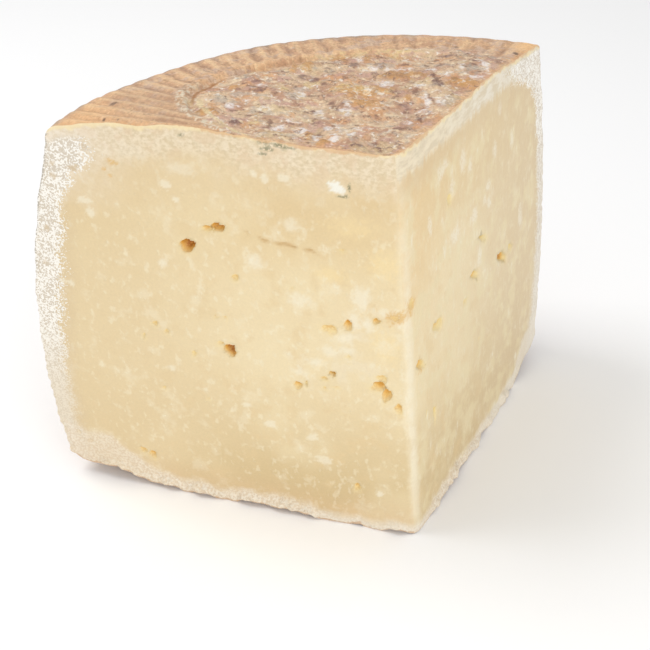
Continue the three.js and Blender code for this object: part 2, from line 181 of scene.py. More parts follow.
def distance_to(radius, z, share):
    """How far from the near edge that plane meets a radius about the axis: a line cut by a circle."""
    ex, ey = edge_at(z)
    angle = cut_angle(share)
    along = ex * np.cos(angle) + ey * np.sin(angle)
    return -along + np.sqrt(along**2 - ex**2 - ey**2 + radius**2)


def turn_of(x, y):
    """The angle round the wheel's axis, in degrees."""
    return np.degrees(np.arctan2(y, x))


def flute_turn(turn, radius):
    """Which flute a point is on: its turn, brought along the leaning flute to one radius, in pitches."""
    lean = LEAN_MOST * smooth((turn - LEAN_FROM) / LEAN_OVER)
    return (turn + lean * (radius - FLUTE_RADIUS) - FLUTE_FIRST) / FLUTE_PITCH


def groove(turn, radius):
    """Grooves between the flutes: a raised cosine, squared, so that ribs are broad, each its own depth."""
    flute = flute_turn(turn, radius)
    uneven = 1 - FLUTE_UNEVEN * (0.5 + 0.5 * lumps(flute, 0 * flute, 15))
    return uneven * (0.5 + 0.5 * np.cos(flute * 2 * np.pi)) ** 2


def side_radius(z, share):
    """The side's barrel curve: widest, less off^2 over twice the curve."""
    off = z - between(SIDE_HEIGHT, share)
    return between(SIDE_WIDEST, share) - off**2 / (2 * between(SIDE_CURVE, share))


def side_relief(z, turn, share):
    """Flutes that fade as exp(-depth under the crown), and the mould's bands: a raised cosine of depth."""
    below = positive(CROWN_HEIGHT - z)
    depth = FLUTE_REST * between(FLUTE_DEPTH, share) * np.exp(-below / FLUTE_FADE)
    flutes = depth * groove(turn, side_radius(z, share))
    bands = BAND_DEPTH * (0.5 + 0.5 * np.cos(below / BAND_PITCH * 2 * np.pi))
    return -flutes - bands


def crease_radius(turn):
    """The crease runs evenly round the back and turns inwards to meet each cut.

    It does so by a power of the turn at the left cut, and straight at the right cut.
    """
    left, right = RING_LEFT, RING_RIGHT
    near_left = np.clip((turn - left["start"]) / (left["end"] - left["start"]), 0, 1)
    near_right = np.clip((right["start"] - turn) / right["over"], 0, 1)
    return RING_RADIUS - left["inwards"] * near_left ** left["power"] - right["inwards"] * near_right


def top_height(x, y, share):
    """Dome and raised ridge, less the fall to the rim, the sunken middle, the crease and flutes.

    Dome, ridge, crease and rim are bells of the radius, and the fall is a power of it. The middle sinks by
    a smooth step inside the crease and has lumps() for crags.
    """
    radius, turn = np.hypot(x, y), turn_of(x, y)
    width = np.where(radius < RIDGE_RADIUS, RIDGE_INSIDE, RIDGE_OUTSIDE)
    dome = CROWN_HEIGHT + DOME_HEIGHT * bell(radius / DOME_WIDTH)
    crown = dome + between(RIDGE_RISE, share) * bell((radius - RIDGE_RADIUS) / width)
    rim_fall = between(FALL_DROP, share) + DIP_FALL * bell((share - DIP_SHARE) / DIP_WIDTH)
    fallen = rim_fall * (positive(radius - FALL_FROM) / FALL_OVER) ** between(FALL_POWER, share)
    ending = smooth((np.maximum(share, 1 - share) - ENDING_FROM) / ENDING_OVER)
    past = radius - crease_radius(turn)
    inside = smooth(-past / CREASE_HALF + 0.5)
    sunk = between(SUNK, share) * inside * (1 - smooth(1 - radius / RIDGE_RADIUS))
    crease = between(CREASE_DEPTH, share) * bell(past / CREASE_HALF)
    rim = between(RIM_HEIGHT, share) * bell((past - CREASE_HALF) / CREASE_HALF)
    calm = mix(0.3, 1, smooth(radius * np.minimum(share, 1 - share) * 1.75 / CRAG_SIZE))
    lump = lumps(x / CRAG_SIZE, y / CRAG_SIZE, CRAG_SEED) * smooth(radius / CRAG_SIZE) * calm
    dying = mix(1, FLUTE_REST, smooth((radius - FLUTE_RIM) / FLUTE_RIM_OVER))
    flutes = between(FLUTE_DEPTH, share) * groove(turn, radius) * (1 - inside) * dying
    flutes = flutes * smooth(past / (2 * CREASE_HALF))
    return crown - fallen + (rim - sunk - crease) * (1 - ending) + CRAG_HEIGHT * inside * lump - flutes


def base_height(radius, to_cut, along):
    """A flat foot that lifts towards the rim and is nibbled upwards along the cuts, coarsely and finely.

    The lift is a smooth step of the radius. The nibbles are what lumps() along the cut has above 0, and
    they fade with the distance from it.
    """
    lift = LIFT_HEIGHT * smooth((radius - FOOT_RADIUS) / LIFT_OVER)
    nibble = positive(lumps(along / LIP["size"], 0 * along, LIP["seed"]))
    nibbled = LIP["up"] * nibble * smooth(1 - to_cut / LIP["reach"])
    chip = positive(lumps(along / CHIP_SIZE, 0 * along, LIP["seed"] + 5)) * smooth(np.abs(along) / 6)
    return lift + nibbled + CHIP_HEIGHT * chip * smooth(1 - to_cut / CHIP_REACH)


def top_spot(distance, share):
    """The top's point at a distance from the near edge: the level place, moved to top_height()."""
    p = spot(distance, CROWN_HEIGHT, share)
    p[..., 2] = top_height(p[..., 0], p[..., 1], share)
    return p


def side_spot(z, share):
    """The side's point at a height: where the plane meets side_radius() plus the relief at that turn."""
    p = spot(distance_to(side_radius(z, share), z, share), z, share)
    radius = side_radius(z, share) + side_relief(z, turn_of(p[..., 0], p[..., 1]), share)
    return spot(distance_to(radius, z, share), z, share)


def base_spot(distance, share):
    """The underside's point at a distance from the near edge: the level place, moved to base_height()."""
    p = spot(distance, 0.0, share)
    to_cut = distance * abs(cut_angle(0) - cut_angle(1)) * np.minimum(share, 1 - share)
    along = np.where(share < 0.5, -distance, distance)
    p[..., 2] = base_height(np.hypot(p[..., 0], p[..., 1]), to_cut, along)
    return p


def arc_spot(start, corner, end, t):
    """A rounded corner: (1-t)^2 start + 2t(1-t) corner + t^2 end."""
    t = t[..., None]
    return (1 - t) ** 2 * start + 2 * t * (1 - t) * corner + t**2 * end


def stations(count, crowd):
    """Steps from 0 to 1 that crowd towards both ends: q - crowd * sin(2 pi q) / (2 pi)."""
    q = np.linspace(0, 1, count + 1)
    return q - crowd * np.sin(2 * np.pi * q) / (2 * np.pi)


def skin_sections(share):
    """The bare skin, one upright section per share: over the top, down the side and back underneath.

    Rows are stations along the section, from the head of the near edge to its foot.
    """
    share = share[None, :]
    shoulder = between(SHOULDER, share)
    reach = distance_to(side_radius(CROWN_HEIGHT - shoulder, share), CROWN_HEIGHT, share)
    corner_high = top_spot(reach, share)[..., 2]
    top = top_spot(stations(TOP_STEPS, 0.35)[:, None] * (reach - shoulder), share)
    start, end = top[-1:], side_spot(corner_high - shoulder, share)
    corner = np.stack([end[..., 0], end[..., 1], corner_high], -1)
    rounded = arc_spot(start, corner, end, np.linspace(0, 1, ARC_STEPS + 1)[1:-1, None])
    low = LIFT_HEIGHT + HEEL
    side = side_spot(mix(corner_high - shoulder, low, stations(SIDE_STEPS, 0.2)[:, None]), share)
    heel_out = distance_to(side_radius(LIFT_HEIGHT + HEEL / 2, share), 0.0, share)
    inner = base_spot(heel_out - HEEL, share)
    corner = np.stack([side[-1:, ..., 0], side[-1:, ..., 1], inner[..., 2]], -1)
    heel = arc_spot(side[-1:], corner, inner, np.linspace(0, 1, HEEL_STEPS + 1)[1:-1, None])
    under = base_spot((1 - stations(BASE_STEPS, 0.35)[:, None]) * (heel_out - HEEL), share)
    return np.concatenate([top, rounded, side, heel, under])


def blunt(p):
    """Points close to the near edge move into the wedge along its middle line, by exp(-how far in)."""
    ex, ey = edge_at(p[..., 2])
    right, left = cut_angle(0), cut_angle(1)
    dx, dy = p[..., 0] - ex, p[..., 1] - ey
    turn = np.sin(left - right)
    along = (dx * np.sin(left) - dy * np.cos(left) + dy * np.cos(right) - dx * np.sin(right)) / turn
    move = BLUNT_SHARE * BLUNT_REACH * np.exp(-positive(along) / BLUNT_REACH)
    middle = (left + right) / 2
    return p + np.stack([move * np.cos(middle), move * np.sin(middle), 0 * move], -1)


def cut_outward(share):
    """The direction out of a cut face."""
    angle = cut_angle(share)
    sign = 1 if share > 0.5 else -1
    return np.array([-sign * np.sin(angle), sign * np.cos(angle), 0.0])


def lip_out(distance, share):
    """How far the broken lower crust stands out of a cut face: lumps along the foot."""
    along = distance / LIP["size"]
    lump = LIP["least"] + (1 - LIP["least"]) * lumps(along, 0 * along + share * 2 + 1, LIP["seed"])
    fine = 0.25 * lumps(along * 4, 0 * along + share, LIP["seed"] + 1)
    ending = 1
    if share < 0.5:
        ending = mix(LIP_FADED, 1, smooth((LIP_FADE_TO - distance) / LIP_FADE_OVER))
    return LIP["out"] * positive(lump + fine) * smooth(along) * ending


# Places read in the photograph. A mark on the top is at most this many millimetres deep for each pixel
# of its height.
DEEPEST_TO_TALL = 0.95


def camera_axes():
    """The camera's right, up and forward directions: level along +Y, then pitched down and rolled."""
    pitch, roll = math.radians(CAMERA_PITCH), math.radians(CAMERA_ROLL)
    forward = np.array([0, math.cos(pitch), -math.sin(pitch)])
    level, upright = np.array([1.0, 0, 0]), np.array([0, math.sin(pitch), math.cos(pitch)])
    right = math.cos(roll) * level + math.sin(roll) * upright
    up = -math.sin(roll) * level + math.cos(roll) * upright
    return right, up, forward


def sight(x, y):
    """The directions in which the camera sees pixels of the photograph, x from its left, y from its top."""
    right, up, forward = camera_axes()
    across, down = (x - PHOTO_PIXELS / 2)[:, None], (y - PHOTO_PIXELS / 2)[:, None]
    return FOCAL_PIXELS * forward + across * right - down * up


def seen_on_cut(x, y, share):
    """Where lines of sight meet a cut plane, as distance from the near edge and height.

    Camera + reach * sight = foot + distance * along + height * lean, solved for the three lengths.
    """
    angle = cut_angle(share)
    along = np.array([np.cos(angle), np.sin(angle), 0])
    foot, head = np.array([*EDGE_FOOT, 0]), np.array([*EDGE_HEAD, CROWN_HEIGHT])
    sides = np.stack(np.broadcast_arrays(along, (head - foot) / CROWN_HEIGHT, -sight(x, y)), -1)
    lengths = np.linalg.inv(sides) @ (CAMERA_AT - TO_PART - foot)
    return lengths[:, 0], lengths[:, 1]


def seen_on_top(x, y):
    """Where lines of sight meet the top: level planes are tried, each at the height of the last place."""
    eye, line = CAMERA_AT - TO_PART, sight(x, y)
    z = np.full(len(line), CROWN_HEIGHT)
    for _ in range(8):
        place = eye + line * ((z - eye[2]) / line[:, 2])[:, None]
        turn = turn_of(place[:, 0] - EDGE_HEAD[0], place[:, 1] - EDGE_HEAD[1])
        share = np.clip((turn - CUT_ANGLE[0]) / (CUT_ANGLE[1] - CUT_ANGLE[0]), 0, 1)
        z = top_height(place[:, 0], place[:, 1], share)
    return place[:, :2]


def cut_marks(share, way, rows):
    """Marks on a cut, from rows that start with a pixel of the photograph and go on in millimetres.

    The pixel becomes a distance from the near edge, times way, and a height. The rest stays.
    """
    x, y, *rest = np.array(rows, float).T
    distance, height = seen_on_cut(x, y, share)
    return np.stack([way * distance, height, *rest], 1)


def top_marks(rows):
    """Marks on the top as (x, y, width, depth), from rows of pixel, width and height in the photograph."""
    x, y, wide, tall = np.array(rows, float).T
    place = seen_on_top(x, y)
    width = 2 * np.linalg.norm(seen_on_top(x + wide / 2, y) - place, axis=1)
    depth = 2 * np.linalg.norm(seen_on_top(x, y - tall / 2) - place, axis=1)
    return np.stack([place[:, 0], place[:, 1], width, np.minimum(depth, DEEPEST_TO_TALL * tall)], 1)


# Eyes of the paste on each cut, as (pixel across, pixel down, width, upright width, depth, tilt).
# An eye whose depth is a DEEP_SHARE of its width or more opens out inside.
EYES_LEFT = [
    (187, 246, 4.4, 4.2, 3.0, 0), (216.5, 228, 3.9, 2.8, 2.4, 25), (207, 229, 4.0, 1.6, 1.2, 5),
    (235, 278, 2.0, 2.2, 1.0, 0), (230.5, 350.5, 3.5, 3.9, 2.8, -25), (220.5, 343.5, 3.0, 1.3, 0.7, 15),
    (155, 324, 1.8, 1.8, 0.8, 0), (167, 332, 1.8, 1.8, 0.7, 0), (194, 354, 1.7, 2.4, 0.6, 0),
    (330, 330, 4.6, 3.6, 0.8, 0), (348, 326, 2.6, 3.1, 1.4, -10), (376, 322, 2.1, 1.9, 1.2, 0),
    (332, 375.5, 1.8, 1.6, 1.9, 0), (324, 380, 2.8, 1.3, 0.7, -20), (298, 386, 2.2, 2.8, 1.2, 0),
    (381.5, 381, 3.4, 3.4, 0.9, 0), (378.5, 388.5, 4.8, 3.4, 1.5, 0), (386.5, 397, 2.6, 5.0, 1.3, -15),
    (399, 411, 2.8, 3.2, 1.0, 0), (357.5, 487.5, 2.1, 3.3, 0.9, 0), (144, 450, 2.4, 2.6, 1.0, 0),
    (153, 454.5, 2.8, 3.2, 1.1, 0), (79, 432, 1.5, 2.6, 0.6, 0), (395, 320, 2.6, 2.0, 0.6, 0),
    (144, 336, 1.0, 2.0, 0.5, 0), (216, 317, 1.1, 1.1, 0.5, 0), (225, 318, 1.4, 1.2, 0.5, 0),
    (164.5, 388, 1.7, 1.5, 0.5, 0), (209, 399, 1.4, 0.8, 0.4, 0), (292, 288, 1.2, 1.0, 0.4, 0),
    (306, 385, 1.2, 2.2, 0.6, 0), (325, 389, 1.5, 1.0, 0.6, 0), (336, 388, 2.6, 0.8, 0.4, 0),
    (348, 358, 1.8, 1.3, 0.4, 0), (92, 441, 2.0, 1.4, 0.5, 0), (342, 251, 2.0, 1.3, 0.4, 0),
]
EYES_RIGHT = [
    (502, 257, 8.8, 3.0, 2.6, -32), (510, 247, 4.4, 2.2, 0.7, -25), (483, 238, 8.4, 1.9, 0.8, -32),
    (475, 275, 6.6, 2.8, 1.2, -32), (450, 199, 4.2, 3.2, 0.7, -20), (438, 325, 7.6, 3.6, 0.9, -20),
    (421, 365, 6.0, 3.0, 1.2, -32), (435, 413, 2.4, 5.4, 0.6, 0), (412, 304.5, 2.6, 3.6, 0.5, 0),
    (465, 302, 3.0, 1.8, 0.5, 0), (427, 413, 0.8, 2.1, 0.6, 0), (479, 338, 1.2, 1.0, 0.4, 0),
]
# The distance is negative on the left cut and positive on the right cut
EYES = np.concatenate([cut_marks(1, -1, EYES_LEFT), cut_marks(0, 1, EYES_RIGHT)])
DEEP_SHARE = 0.45
# How far an eye's wall turns from its floor to its rim, in degrees: a plain cap, or past upright
CAP_TURN, OPEN_TURN = 88, 108
LENS_REACH, LENS_RIM = 2.2, 1.5
SCAR_DEPTH, CRACK_DEPTH = 0.5, 0.45
# The scar's upper and lower line and the crack, as pixels from the near edge outwards, on the left cut
SCAR_TOP = cut_marks(1, 1, [(407, 324), (400, 325), (376, 322), (345, 335), (297, 386)]).T
SCAR_FOOT = cut_marks(1, 1, [(411, 419), (375, 405), (345, 392), (297.5, 387.5)]).T
FISSURE_LINE = [(346, 264), (325, 259), (311, 251), (289, 245), (270, 243), (248, 233), (237.5, 227.5)]
FISSURE = cut_marks(1, 1, FISSURE_LINE).T

# Spots and soft clouds, as (pixel across, pixel down, width, upright width). Those that are added in
# millimetres, as (distance from the near edge, height, width, upright width), were placed to continue
# the pattern.
MOULD_SPOTS = cut_marks(1, 1, [(337, 188, 4.6, 3.2)])
PALE_SPOTS = np.concatenate([
    cut_marks(1, 1, [
        (284, 179, 3.5, 3), (264, 179, 2, 3), (254, 174, 2, 2), (63, 280, 4, 1.5), (165, 184, 3, 3),
        (175, 200, 2, 2), (85, 200, 4.5, 2), (91, 212, 3, 2.5), (72, 283, 2.5, 2)]),
    [(70.5, 87, 3, 3), (74, 50, 3.4, 2.6), (31, 33, 4.2, 3), (44, 35, 4, 2.6), (28.5, 24.5, 5.5, 3.2),
     (51.5, 40.5, 3.2, 2), (11, 15, 2.4, 2.2)]])
CLOUD_SPOTS = np.concatenate([
    cut_marks(1, 1, [
        (361, 298, 4.5, 7.5), (354, 322, 5, 5.5), (342, 338, 6, 5), (330, 352, 6, 3.5), (316, 362, 5.5, 3),
        (368, 326, 3, 4.5), (386, 314, 8, 2.5), (399, 324, 4, 4), (346, 352, 6.5, 3), (300, 372, 4.5, 2.5),
        (105, 150, 7.5, 3.5), (130, 152, 9, 4), (300, 300, 6.5, 4), (255, 262, 5, 4),
        (290, 225, 4.5, 3.5)]),
    [(60, 117, 8, 3.6)]])
WARM_SPOTS = np.concatenate([
    cut_marks(1, 1, [(385, 348, 7, 11), (385, 266.5, 8, 8), (330, 275, 8.5, 4)]), [(14, 106, 12, 6)]])
# Where the knife dragged pale marks down the right cut
DRAG_SPOTS = np.concatenate([
    cut_marks(0, 1, [
        (441, 172, 4.5, 5), (463, 160, 5, 6.5), (470, 165, 3.5, 5.5), (488, 186, 5, 3.5),
        (489, 203, 3.5, 4), (452, 190, 3.5, 5), (500, 108, 3, 4.5), (512, 140, 3, 5.5),
        (485, 200, 2.5, 3.5), (495, 150, 3.5, 6.5), (445, 165, 5, 3), (455, 235, 7, 4.5),
        (480, 255, 4, 7), (520, 215, 3.5, 9.5), (475, 215, 5.5, 4.5)]),
    [(18, 100, 2.6, 6)]])
BLUE_SPOTS = cut_marks(1, 1, [
    (262.5, 142, 3.4, 1.2), (275.5, 145, 6.4, 0.9), (267.5, 148.5, 4.6, 0.8), (287.5, 148.5, 4.6, 0.8),
    (262, 154.5, 2.6, 0.6), (235.5, 134.5, 1.2, 2), (225, 138.5, 1.8, 0.5), (180, 134.5, 1.6, 0.6),
    (344, 197, 3, 0.9), (349, 186.5, 0.9, 2.4)])
# A distance times -1 places a brown spot on the right cut
BROWN_SPOTS = np.concatenate([
    cut_marks(1, 1, [
        (54, 176, 2.5, 2), (52, 163, 2, 1.5), (79, 137, 1, 1), (73, 168, 3, 2), (46, 262, 1.5, 3),
        (47, 228, 1.5, 2), (77, 433, 2, 2.5), (90, 441, 2, 1.5), (112, 162, 3.5, 2), (103.5, 169, 1.5, 1),
        (110, 175, 1, 1), (83, 146, 1.5, 2), (398.5, 320, 7.5, 4.5)]),
    cut_marks(0, -1, [(411.5, 307, 5, 5.5), (420.5, 366, 3.5, 4.5)])])

# The chalky strip's width at a few heights, on the left and on the right cut
CHALK_LEFT = ((0, 40, 76, 106, 111, 116, 120, 124), (6.5, 7.0, 9.0, 7.5, 8.5, 13.0, 13.0, 10.0))
CHALK_RIGHT = ((0, 18, 50, 85, 97, 105, 111, 116, 122), (9.0, 8.5, 7.0, 7.4, 7.4, 8.0, 10.5, 21.0, 27.0))


def spots_mask(distance, height, spots, seed, soft=0.6):
    """1 inside ragged soft spots: smooth() of how far a point lies within any spot's wavy radius.

    A spot lies at its own distance times -1, so on the left cut unless distance is turned round.
    """
    d = -distance
    ragged = 0.4 * lumps(d / 0.9, height / 0.9, seed) + 0.3 * lumps(d / 0.4, height / 0.4, seed + 1)
    mask = np.zeros_like(d)
    for at, up, wide, tall in spots:
        radius = np.hypot((d - at) / (wide / 2), (height - up) / (tall / 2)) + ragged
        mask = np.maximum(mask, smooth(0.5 + (0.95 - radius) / soft))
    return mask


def eye_place(distance, height, eye, seed):
    """How far out points lie in an eye: turned and scaled to a circle, over a rim of sines and lumps()."""
    at, up, wide, tall, _, tilt = eye
    tilt = math.radians(tilt)
    ds, dz = distance - at, height - up
    a = (ds * math.cos(tilt) + dz * math.sin(tilt)) / (wide / 2)
    b = (-ds * math.sin(tilt) + dz * math.cos(tilt)) / (tall / 2)
    turn = np.arctan2(b, a)
    waves = 0.11 * np.sin(2 * turn + seed * 2.3) + 0.1 * np.sin(3 * turn + seed * 4.1)
    waves = waves + 0.06 * np.sin(5 * turn + seed * 1.7) + 0.1 * lumps(ds / 1.1 + seed * 5, dz / 1.1, 77)
    return np.hypot(a, b) / (1 + waves)


def gather_to_eyes(distance, height, fixed):
    """Draws grid points in towards each eye: radius 1.5 goes to the rim at 1, and 2.2 stays where it is."""
    for seed, eye in enumerate(EYES):
        radius = eye_place(distance, height, eye, seed)
        drawn = np.interp(radius, [0, LENS_RIM, LENS_REACH], [0, 1, LENS_REACH])
        scale = np.where(fixed | (radius > LENS_REACH), 1, drawn / np.maximum(radius, 1e-6))
        distance = eye[0] + (distance - eye[0]) * scale
        height = eye[1] + (height - eye[1]) * scale
    return distance, height


def eye_hollows(distance, height, fixed):
    """Hollows the eyes: across an eye the radius runs along a rounded cap, past upright if it is deep.

    Depth is cos(t) - cos(t rim) and the sideways bulge is sin(t) / sin(t rim), with t = radius * t rim.
    Also returns how far up each eye a point lies, and where painted light falls round each eye's lower rim.
    """
    depth, roof, lower_rim_light = np.zeros((3,) + distance.shape)
    moved, lifted = distance.copy(), height.copy()
    for seed, eye in enumerate(EYES):
        radius = eye_place(distance, height, eye, seed)
        within = (radius < 1) & ~fixed
        rim = math.radians(CAP_TURN if eye[4] < DEEP_SHARE * eye[2] else OPEN_TURN)
        lumpy = 1 + 0.22 * lumps(distance * 1.1 + seed, height * 1.1, seed + 40)
        swell = np.where(within, np.sin(radius * rim) / (math.sin(rim) * np.maximum(radius, 1e-6)), 1)
        swell = np.where(radius < 1e-3, rim / math.sin(rim), swell)
        roofed = mix(0.55, 1.2, smooth(0.5 + (height - eye[1]) / eye[3]))
        sunk = eye[4] * lumpy * roofed * (np.cos(radius * rim) - math.cos(rim)) / (1 - math.cos(rim))
        depth = np.where(within, np.maximum(depth, sunk), depth)
        high = (height - eye[1]) / eye[3]
        roof = np.where(within, smooth(high * 1.6 + 0.45), roof)
        lower_rim_light = np.maximum(lower_rim_light, smooth((1.75 - radius) / 0.8) * smooth(0.8 - high))
        moved = np.where(within, eye[0] + (distance - eye[0]) * swell, moved)
        lifted = np.where(within, eye[1] + (height - eye[1]) * swell, lifted)
    return moved, lifted, depth, roof, lower_rim_light


def chalk_place(distance, height, to_side):
    """How far in from the side each point lies, where 1 is the chalky strip's own border at that height."""
    left = np.interp(height, *CHALK_LEFT)
    right = np.interp(height, *CHALK_RIGHT)
    return to_side / np.where(distance < 0, left, right)


def scar_mask(distance, height):
    """1 where a flake of paste came away on the left cut, between a steep upper and a soft lower line."""
    d = -distance
    ragged = 1.1 * lumps(d / 5, height / 5, 21) + 0.5 * lumps(d / 1.7, height / 1.7, 22)
    upper = smooth((np.interp(d, *SCAR_TOP) + ragged - height) / 3.0)
    lower = smooth((height - np.interp(d, *SCAR_FOOT) + 2 * ragged) / 4.0)
    return upper * lower * smooth((34 - d) / 3) * smooth(d / 3)


def fissure_mask(distance, height):
    """A thin crack on the left cut: a bell across a broken line."""
    d = -distance
    off = height - np.interp(d, *FISSURE) - 0.35 * lumps(d / 1.5, 0 * d, 31)
    along = smooth((d - 20) / 4) * smooth((45 - d) / 3)
    return bell(off / 0.5) * along * smooth(0.6 + lumps(d / 2.6, 0 * d, 32))


def face_relief(distance, height, above_base, below_top, to_side):
    """How far the cut faces stand out or in: scar, crack, knife marks, crumbled borders and the lip.

    Each is lumps() or rough() at its own size, times where it lies: exp(-distance) from the borders, or a
    smooth step. Also returns where the scar and the crack are.
    """
    points = np.stack([distance, height, 0 * distance], -1)
    left = distance < 0
    scar = np.where(left, scar_mask(distance, height), 0)
    crack = np.where(left, fissure_mask(distance, height), 0)
    near_rind = np.exp(-np.minimum(np.minimum(to_side, below_top), above_base) / 4)
    waves = 0.10 * grain(points, 24, 51) + 0.05 * rough(points, 5, 52)
    streaks = smooth(distance / 3) * 0.05 * lumps(distance / 0.9, height / 40, 53)
    crumbs = near_rind * (0.16 * rough(points, 2.4, 54) - 0.06)
    broken = scar * (0.22 * rough(points, 6, 55) - SCAR_DEPTH)
    uneven = 1.2 * lumps(distance / 6, 0 * distance, 56) + 0.6 * lumps(distance / 1.6, height, 57)
    within = smooth((CRUST_BASE + uneven - above_base) / 0.8)
    proud = np.where(left, lip_out(-distance, 1), lip_out(distance, 0))
    knobbly = 1 + 0.5 * rough(points, 2.6, 58)
    lip = proud * within * knobbly * smooth(0.35 + above_base / 1.4)
    chips = 0.4 * positive(lumps(distance / 2.2, height / 2.2, 59)) + 0.15
    arris = np.exp(-np.minimum(below_top, to_side) / 0.7) * smooth(above_base / 6)
    return waves + streaks + crumbs + broken - CRACK_DEPTH * crack + lip - chips * arris, scar, crack


# The crust's fine relief
FLAKE_SIZE, FLAKE_HEIGHT = (3.6, 3.2), 0.6
SMALL_FLAKE_SIZE, SMALL_FLAKE_HEIGHT = (1.5, 1.4), 0.45
WEAVE_PITCH, WEAVE_HEIGHT = 3.6, 0.24


def plates(x, y, seed):
    """Flakes one cell apart: each point takes its nearest scattered centre's own value.

    Also returns the gap to the next flake: how much farther off the second nearest centre is.
    """
    nearest = np.full(x.shape, 9.0)
    second, value = nearest.copy(), nearest.copy()
    for i in (-1, 0, 1):
        for j in (-1, 0, 1):
            ci, cj = np.floor(x) + i, np.floor(y) + j
            dx, dy = ci + cell_value(ci, cj, seed) - x, cj + cell_value(ci, cj, seed + 1) - y
            far = np.hypot(dx, dy)
            closer = far < nearest
            second = np.where(closer, nearest, np.minimum(second, far))
            value = np.where(closer, cell_value(ci, cj, seed + 2), value)
            nearest = np.where(closer, far, nearest)
    return value, second - nearest


# Patches on the middle of the top, as (across, down, width, height) in pixels of the photograph
PATCHES_READ = dict(
    ochre=[
        (340, 59, 20, 9), (366, 58, 8, 8), (308, 65, 11, 9), (294, 69, 6, 10), (398, 59, 7, 7),
        (402, 76, 44, 8), (362, 92, 58, 13), (365, 104, 36, 7), (207, 112, 26, 6), (232, 88, 10, 6),
        (308, 138, 9, 9), (323, 143, 14, 6), (408, 98, 10, 7), (463, 84, 30, 10)],
    yellow=[
        (312, 85, 16, 7), (283, 88, 12, 6), (252, 121, 14, 6), (352, 88, 34, 5), (425, 82, 12, 7),
        (390, 91, 7, 6), (400, 50, 34, 3.8), (330, 52, 34, 3.8)],
    mauve=[
        (329, 72, 10, 8), (314, 81, 9, 4), (303, 77, 14, 5), (258, 90, 7, 4), (258, 81, 12, 3),
        (235, 123, 13, 6), (404, 105, 10, 5), (380, 66, 12, 5), (353, 67, 10, 8), (341, 105, 5, 4),
        (309, 112, 10, 4), (316, 123, 8, 3), (289, 124, 8, 4), (433, 76, 8, 6), (418, 118, 5, 6),
        (439, 84, 12, 5), (498, 62, 9, 6), (475, 61, 10, 4), (397, 144, 13, 5), (449, 57, 44, 3),
        (375, 148.5, 54, 2)],
    grey=[
        (500, 57, 22, 6), (461, 55, 10, 7), (470, 68, 12, 10), (243, 77, 16, 4), (262, 87, 26, 4),
        (217, 96, 9, 4), (410, 126, 12, 4)],
    lilac=[
        (291, 120, 11, 5), (262, 84, 10.5, 2.7), (300, 93, 10, 6), (247, 100, 8.5, 3), (230, 105, 12, 4),
        (395, 69, 32, 3), (385, 83, 16, 7), (409, 122, 8, 5), (371, 69, 8, 6), (360, 60, 7, 8),
        (279, 127, 12, 6), (301, 130, 14, 8), (347, 104, 6, 9), (335, 138, 9, 10), (338, 129, 4, 10),
        (355, 136, 11, 6), (357, 129, 7, 5), (317, 138, 8, 5), (328, 129, 9, 4), (462, 66, 6, 9),
        (484, 66, 8, 13), (426, 99, 7, 11), (420, 85, 8, 5), (445, 75, 10, 6), (440, 102, 8, 8),
        (425, 111, 18, 2.5), (430, 69, 12, 4), (477, 76, 14, 4), (318, 114, 9, 6), (345, 112, 12, 8)],
    dots=[(104, 119, 3, 3), (118, 119, 3, 2), (113, 104, 6, 2.5), (516, 53, 4, 3.2), (456, 47, 4, 3)])
PATCHES = {name: top_marks(rows) for name, rows in PATCHES_READ.items()}


def patches_mask(x, y, patches, seed):
    """1 inside ragged soft patches of the top, made in the same way as spots_mask()."""
    ragged = 0.45 * lumps(x / 1.7, y / 1.7, seed) + 0.35 * lumps(x / 0.7, y / 0.7, seed + 1)
    mask = np.zeros_like(x)
    for cx, cy, wide, deep in patches:
        radius = np.hypot((x - cx) / (wide / 2), (y - cy) / (deep / 2)) + ragged
        mask = np.maximum(mask, smooth((1.3 - radius) / 0.7))
    return mask


def to_cuts(points):
    """How far points lie from the nearer cut plane, in millimetres."""
    ex, ey = edge_at(points[..., 2])
    flat = np.stack([points[..., 0] - ex, points[..., 1] - ey, 0 * ex], -1)
    return np.minimum(np.abs(flat @ cut_outward(0)), np.abs(flat @ cut_outward(1)))


def crust_masks(points, share):
    """Where on the crust a point lies: inside the crease, on the top, on the underside, in a groove.

    Each mask goes from 0 to 1 by a smooth step of height or of the distance past the crease.
    """
    x, y, z = points[..., 0], points[..., 1], points[..., 2]
    radius, turn = np.hypot(x, y), turn_of(x, y)
    past = radius - crease_radius(turn)
    on_top = smooth((z - CROWN_HEIGHT + 9) / 4)
    under = smooth((12 - z) / 8)
    inside = smooth(-past / CREASE_HALF + 0.5) * on_top
    fade = np.exp(-positive(CROWN_HEIGHT - z) / FLUTE_FADE)
    fluted = groove(turn, radius) * (1 - inside) * smooth((past - 1) / 5) * fade * mix(0.6, 1.0, share)
    round_mm = flute_turn(turn, radius) * math.radians(FLUTE_PITCH) * FLUTE_RADIUS
    # The flaky colour runs past the crease round the back and stops short of it near the right cut
    reach = 4.5 * bell((turn - 122) / 11) - 6.5 * smooth((98 - turn) / 16)
    ragged = past + reach + lumps(x / 3, y / 3, 71) + 0.7 * lumps(x, y, 72)
    middle = smooth(0.5 - ragged / 2.4) * on_top
    placed = {
        name: patches_mask(x, y, spots, 91 + 3 * n) * on_top
        for n, (name, spots) in enumerate(PATCHES.items())}
    return dict(
        placed, inside=inside, top=on_top, under=under, past=past, radius=radius, turn=turn, fluted=fluted,
        to_cut=to_cuts(points), middle=middle, round_mm=round_mm, down_mm=radius - z)


